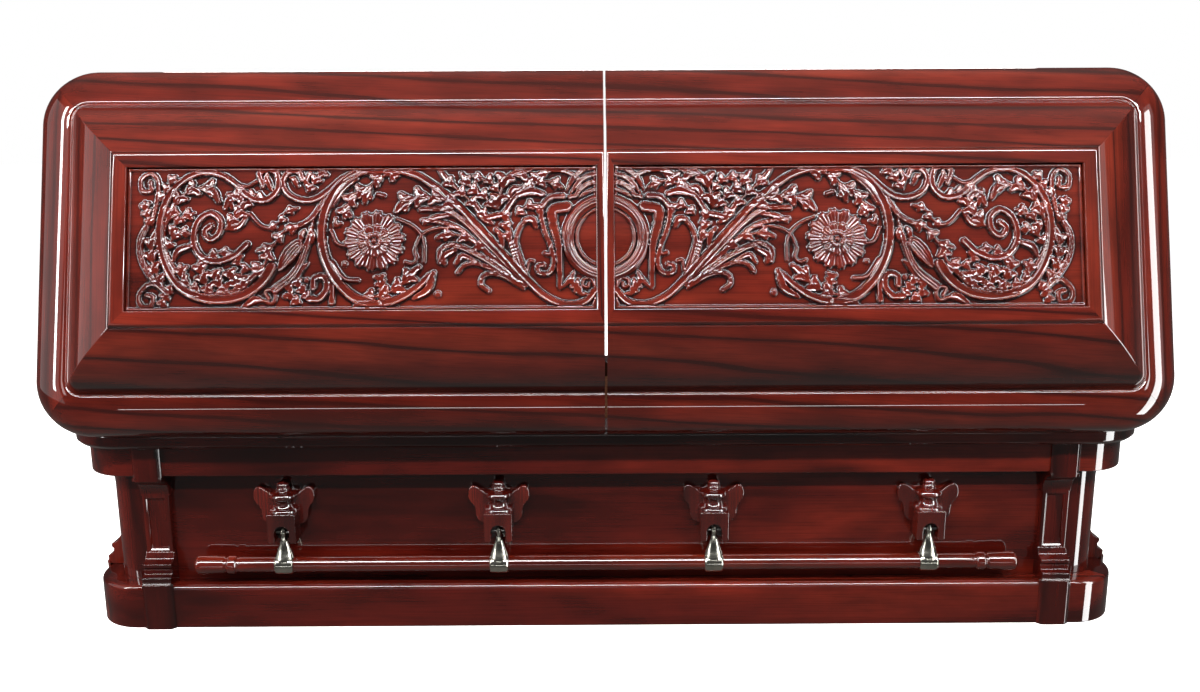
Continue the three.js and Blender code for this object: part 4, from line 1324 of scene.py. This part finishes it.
def carved_heights():
    """The height of the carving over its ground, on an even grid of the panel.

    It is the highest of all strokes, the flower and the medallion, and fades to the ground at the
    panel's edge, where a thin bead runs round.
    """
    bead_inset, bead_half, bead_height = 3, 2.4, 3.6
    clear_edge, fade = 5, 2
    count_u = int((PANEL_END - PANEL_START) / CARVING_STEP) + 1
    count_v = int(2 * PANEL_HALF / CARVING_STEP) + 1
    u = np.linspace(PANEL_START, PANEL_END, count_u)
    v = np.linspace(-PANEL_HALF, PANEL_HALF, count_v)
    grid_u, grid_v = np.meshgrid(u, v)
    height = np.zeros_like(grid_u)
    for spine, width, kind in strokes:
        carve(height, grid_u, grid_v, spine, width, kind)
    height = np.maximum(height, rosette(grid_u, grid_v, *FLOWER_AT, FLOWER_RADIUS))
    height = np.where(np.hypot(grid_u, grid_v) < MEDALLION_RADIUS, medallion(grid_u, grid_v), height)
    from_seam = grid_u - PANEL_START
    border = np.minimum(np.minimum(from_seam, PANEL_END - grid_u), PANEL_HALF - np.abs(grid_v))
    keep = np.where(from_seam < 6, 1, np.clip((border - clear_edge) / fade, 0, 1))
    bead = bead_height * np.sqrt(np.clip(1 - ((border - bead_inset) / bead_half) ** 2, 0, 1))
    return grid_u, grid_v, np.maximum(height * keep, bead)


def hollows(height, passes=3, reach=2, deep=2.4):
    """How far each place lies below the mean height round it, from 0 to 1, which sets the painted shade in
    the carving's hollows.

    The mean is a running sum over a window, taken a few times along each axis.
    """
    window = 2 * reach + 1
    around = height.copy()
    for _ in range(passes):
        for axis in (0, 1):
            padded = np.pad(around, [(reach, reach) if a == axis else (0, 0) for a in (0, 1)], "edge")
            sums = np.cumsum(padded, axis)
            first = np.take(padded, [0], axis) * 0
            sums = np.concatenate([first, sums], axis)
            count = around.shape[axis]
            ahead = np.take(sums, range(window, count + window), axis)
            around = (ahead - np.take(sums, range(count), axis)) / window
    return np.clip((around - height) / deep, 0, 1)


def carved_part(side, grid_u, grid_v, height):
    """The carved face, its four edges and its flat back as one closed surface."""
    rows, columns = height.shape
    top = np.stack([side * grid_u, grid_v, PANEL_GROUND + height], -1).reshape(-1, 3)
    index = np.arange(rows * columns).reshape(rows, columns)
    quads = np.stack([index[:-1, :-1], index[:-1, 1:], index[1:, 1:], index[1:, :-1]], -1).reshape(-1, 4)
    border = np.concatenate([index[0, :-1], index[:-1, -1], index[-1, :0:-1], index[:0:-1, 0]])
    foot = top[border] * (1, 1, 0) + (0, 0, LID_HEIGHT - LID_BOARD)
    below = rows * columns + np.arange(len(border))
    skirt = np.stack([np.roll(border, -1), border, below, np.roll(below, -1)], -1)
    faces = [quads, skirt, below[None, ::-1]]
    points = np.concatenate([top, foot])
    if signed_volume(points, faces) < 0:
        faces = [block[:, ::-1] for block in faces]
    looks = np.zeros(len(quads) + len(skirt) + 1, int)
    looks[-1] = 1
    return opened(points), faces, looks


for draw in SCROLLWORK:
    draw()
carved_grid = carved_heights()
for end, side in (("left", -1), ("right", 1)):
    for run, stations in CROWNS.items():
        wood = lid_y if run == "end" else lid_x
        crown = surface(lid_rings(side, crown_profile, stations), looks=crown_looks)
        add_piece(f"lid_crown_{run}_{end}", [wood, inner_lid_wood], [crown])
    points, faces, kinds = surface(frame_rings(side), ring_on=True)
    rails_and_stiles = np.repeat([0, 1, 0, 1], len(kinds) // 4)
    add_piece(f"lid_frame_{end}", [lid_x, lid_y], [(points, faces, rails_and_stiles)])
    panel = carved_part(side, *carved_grid)
    made = add_piece(f"carved_panel_{end}", [carved_wood, inner_lid_wood], [panel], sharp=80)
    # The depth of each place below the mean height round it, read by the carved wood as painted shade in the
    # hollows.
    depth = np.zeros(len(made.data.vertices), np.float32)
    depth[: carved_grid[2].size] = hollows(carved_grid[2]).ravel()
    made.data.attributes.new("hollow", "FLOAT", "POINT").data.foreach_set("value", depth)


# Studio
FLOOR_REACH = 30
FLOOR_DROP = 0.0005
PHOTO_WIDTH = 1200
SENSOR_WIDTH = 36


def studio_floor():
    """A wide sheet of white paper just under the casket."""
    mesh = bpy.data.meshes.new("studio floor")
    signs = ((-1, -1), (1, -1), (1, 1), (-1, 1))
    corners = [(x * FLOOR_REACH, y * FLOOR_REACH, -FLOOR_DROP) for x, y in signs]
    mesh.from_pydata(corners, [], [(0, 1, 2, 3)])
    paper, _, shader = new_material("white paper")
    set_sockets(
        shader,
        {
            "Base Color": (0.92, 0.92, 0.92, 1),
            "Roughness": 0.9,
            "Specular IOR Level": 0.0,
            "Emission Color": (1, 1, 1, 1),
            "Emission Strength": 0.9,
        },
    )
    mesh.materials.append(paper)
    floor = bpy.data.objects.new("studio_floor", mesh)
    bpy.context.scene.collection.objects.link(floor)
    floor.visible_glossy = False
    floor.visible_diffuse = False


def softbox(name, place, aim, size, power, shown="both"):
    """An area light at a place, facing a point, with its power in watts.

    Some show only as reflections (glossy), and some never do (diffuse).
    """
    data = bpy.data.lights.new(name, "AREA")
    data.shape = "RECTANGLE"
    data.size, data.size_y = size
    data.energy = power
    light = bpy.data.objects.new(name, data)
    bpy.context.scene.collection.objects.link(light)
    light.location = place
    light.rotation_euler = (Vector(aim) - Vector(place)).to_track_quat("-Z", "Y").to_euler()
    light.visible_camera = False
    light.visible_diffuse = shown != "glossy"
    light.visible_glossy = shown != "diffuse"


def studio_world():
    """White behind the object; the light it gives is a dim room with a brighter ceiling."""
    world = bpy.data.worlds.new("studio")
    bpy.context.scene.world = world
    world.use_nodes = True
    tree = world.node_tree
    tree.nodes.clear()
    output = tree.nodes.new("ShaderNodeOutputWorld")
    room = node_of(tree, "ShaderNodeBackground", Strength=1.0)
    white = node_of(tree, "ShaderNodeBackground", Color=(1, 1, 1, 1), Strength=1.0)
    path = tree.nodes.new("ShaderNodeLightPath")
    mix = tree.nodes.new("ShaderNodeMixShader")
    place = tree.nodes.new("ShaderNodeTexCoord").outputs["Generated"]
    split = tree.nodes.new("ShaderNodeSeparateXYZ")
    tree.links.new(place, split.inputs[0])
    climb = node_of(tree, "ShaderNodeMapRange")
    climb.inputs["From Min"].default_value = -1
    tree.links.new(split.outputs["Z"], climb.inputs["Value"])
    sky = ramp_of(
        tree,
        climb.outputs["Result"],
        [
            (0.15, (0.20, 0.19, 0.18)),
            (0.44, (0.10, 0.10, 0.10)),
            (0.55, (0.05, 0.05, 0.05)),
            (0.76, (0.08, 0.08, 0.08)),
            (0.92, (0.30, 0.29, 0.27)),
        ],
    )
    tree.links.new(sky, room.inputs["Color"])
    tree.links.new(path.outputs["Is Camera Ray"], mix.inputs["Fac"])
    tree.links.new(room.outputs[0], mix.inputs[1])
    tree.links.new(white.outputs[0], mix.inputs[2])
    tree.links.new(mix.outputs[0], output.inputs["Surface"])


def photo_camera():
    """A camera on its fitted place: pitch down, a little roll and yaw, focal length in pixels."""
    focal, pitch, roll, yaw = 1060.0, math.radians(11.58), math.radians(0.284), math.radians(-0.085)
    data = bpy.data.cameras.new("photo camera")
    data.sensor_width = SENSOR_WIDTH
    data.lens = SENSOR_WIDTH * focal / PHOTO_WIDTH
    camera = bpy.data.objects.new("photo_camera", data)
    bpy.context.scene.collection.objects.link(camera)
    right = Vector((math.cos(yaw), math.sin(yaw), 0))
    level = Vector((-math.sin(yaw), math.cos(yaw), 0))
    ahead = level * math.cos(pitch) - Vector((0, 0, 1)) * math.sin(pitch)
    up = level * math.sin(pitch) + Vector((0, 0, 1)) * math.cos(pitch)
    across = right * math.cos(roll) - up * math.sin(roll)
    above = up * math.cos(roll) + right * math.sin(roll)
    camera.matrix_world = Matrix((across, above, -ahead)).transposed().to_4x4()
    camera.location = (-0.0135, -2.2845, 0.972)
    bpy.context.scene.camera = camera


studio_floor()
studio_world()
photo_camera()
softbox("key strip", (0, -2.0, 2.07), (0, -0.45, 0.75), (4.6, 0.09), 128)
softbox("line strip", (0, -2.0, 2.22), (0, -0.45, 0.75), (4.6, 0.06), 60, shown="glossy")
softbox("left side window", (-3.0, -1.3, 1.2), (-0.8, -0.45, 0.8), (1.2, 1.8), 70, shown="diffuse")
softbox("left haze", (-3.2, -1.2, 1.3), (-0.8, -0.45, 0.8), (3.0, 2.4), 18, shown="glossy")
softbox("right side window", (3.2, -1.7, 1.3), (0.6, -0.45, 0.8), (1.2, 2.2), 7)
softbox("top fill", (0, -1.1, 3.3), (0, -0.45, 0.8), (4.0, 1.0), 66, shown="diffuse")
softbox("back fill", (0, 2.8, 2.2), (0, 0.2, 0.5), (3.0, 1.4), 90, shown="diffuse")
softbox("back strip", (0, 2.6, 1.9), (0, 0.4, 0.3), (4.0, 0.10), 30, shown="glossy")
softbox("left pane", (-2.7, -3.0, 1.7), (0, -0.45, 0.9), (0.14, 1.6), 3, shown="glossy")
softbox("right pane", (2.7, -3.0, 1.7), (0, -0.45, 0.9), (0.12, 1.6), 7, shown="glossy")
softbox("right end pane", (2.6, -1.5, 0.5), (0.9, -0.4, 0.5), (0.6, 3.0), 84, shown="glossy")
softbox("left end pane", (-2.6, -1.75, 1.45), (-0.9, -0.4, 0.8), (0.22, 1.7), 40, shown="glossy")
softbox("floor strip", (0, -3.2, -0.2), (0, -0.45, 0.7), (4.4, 0.05), 10, shown="glossy")

view = bpy.context.scene.view_settings
view.view_transform = "Standard"
view.look = "None"
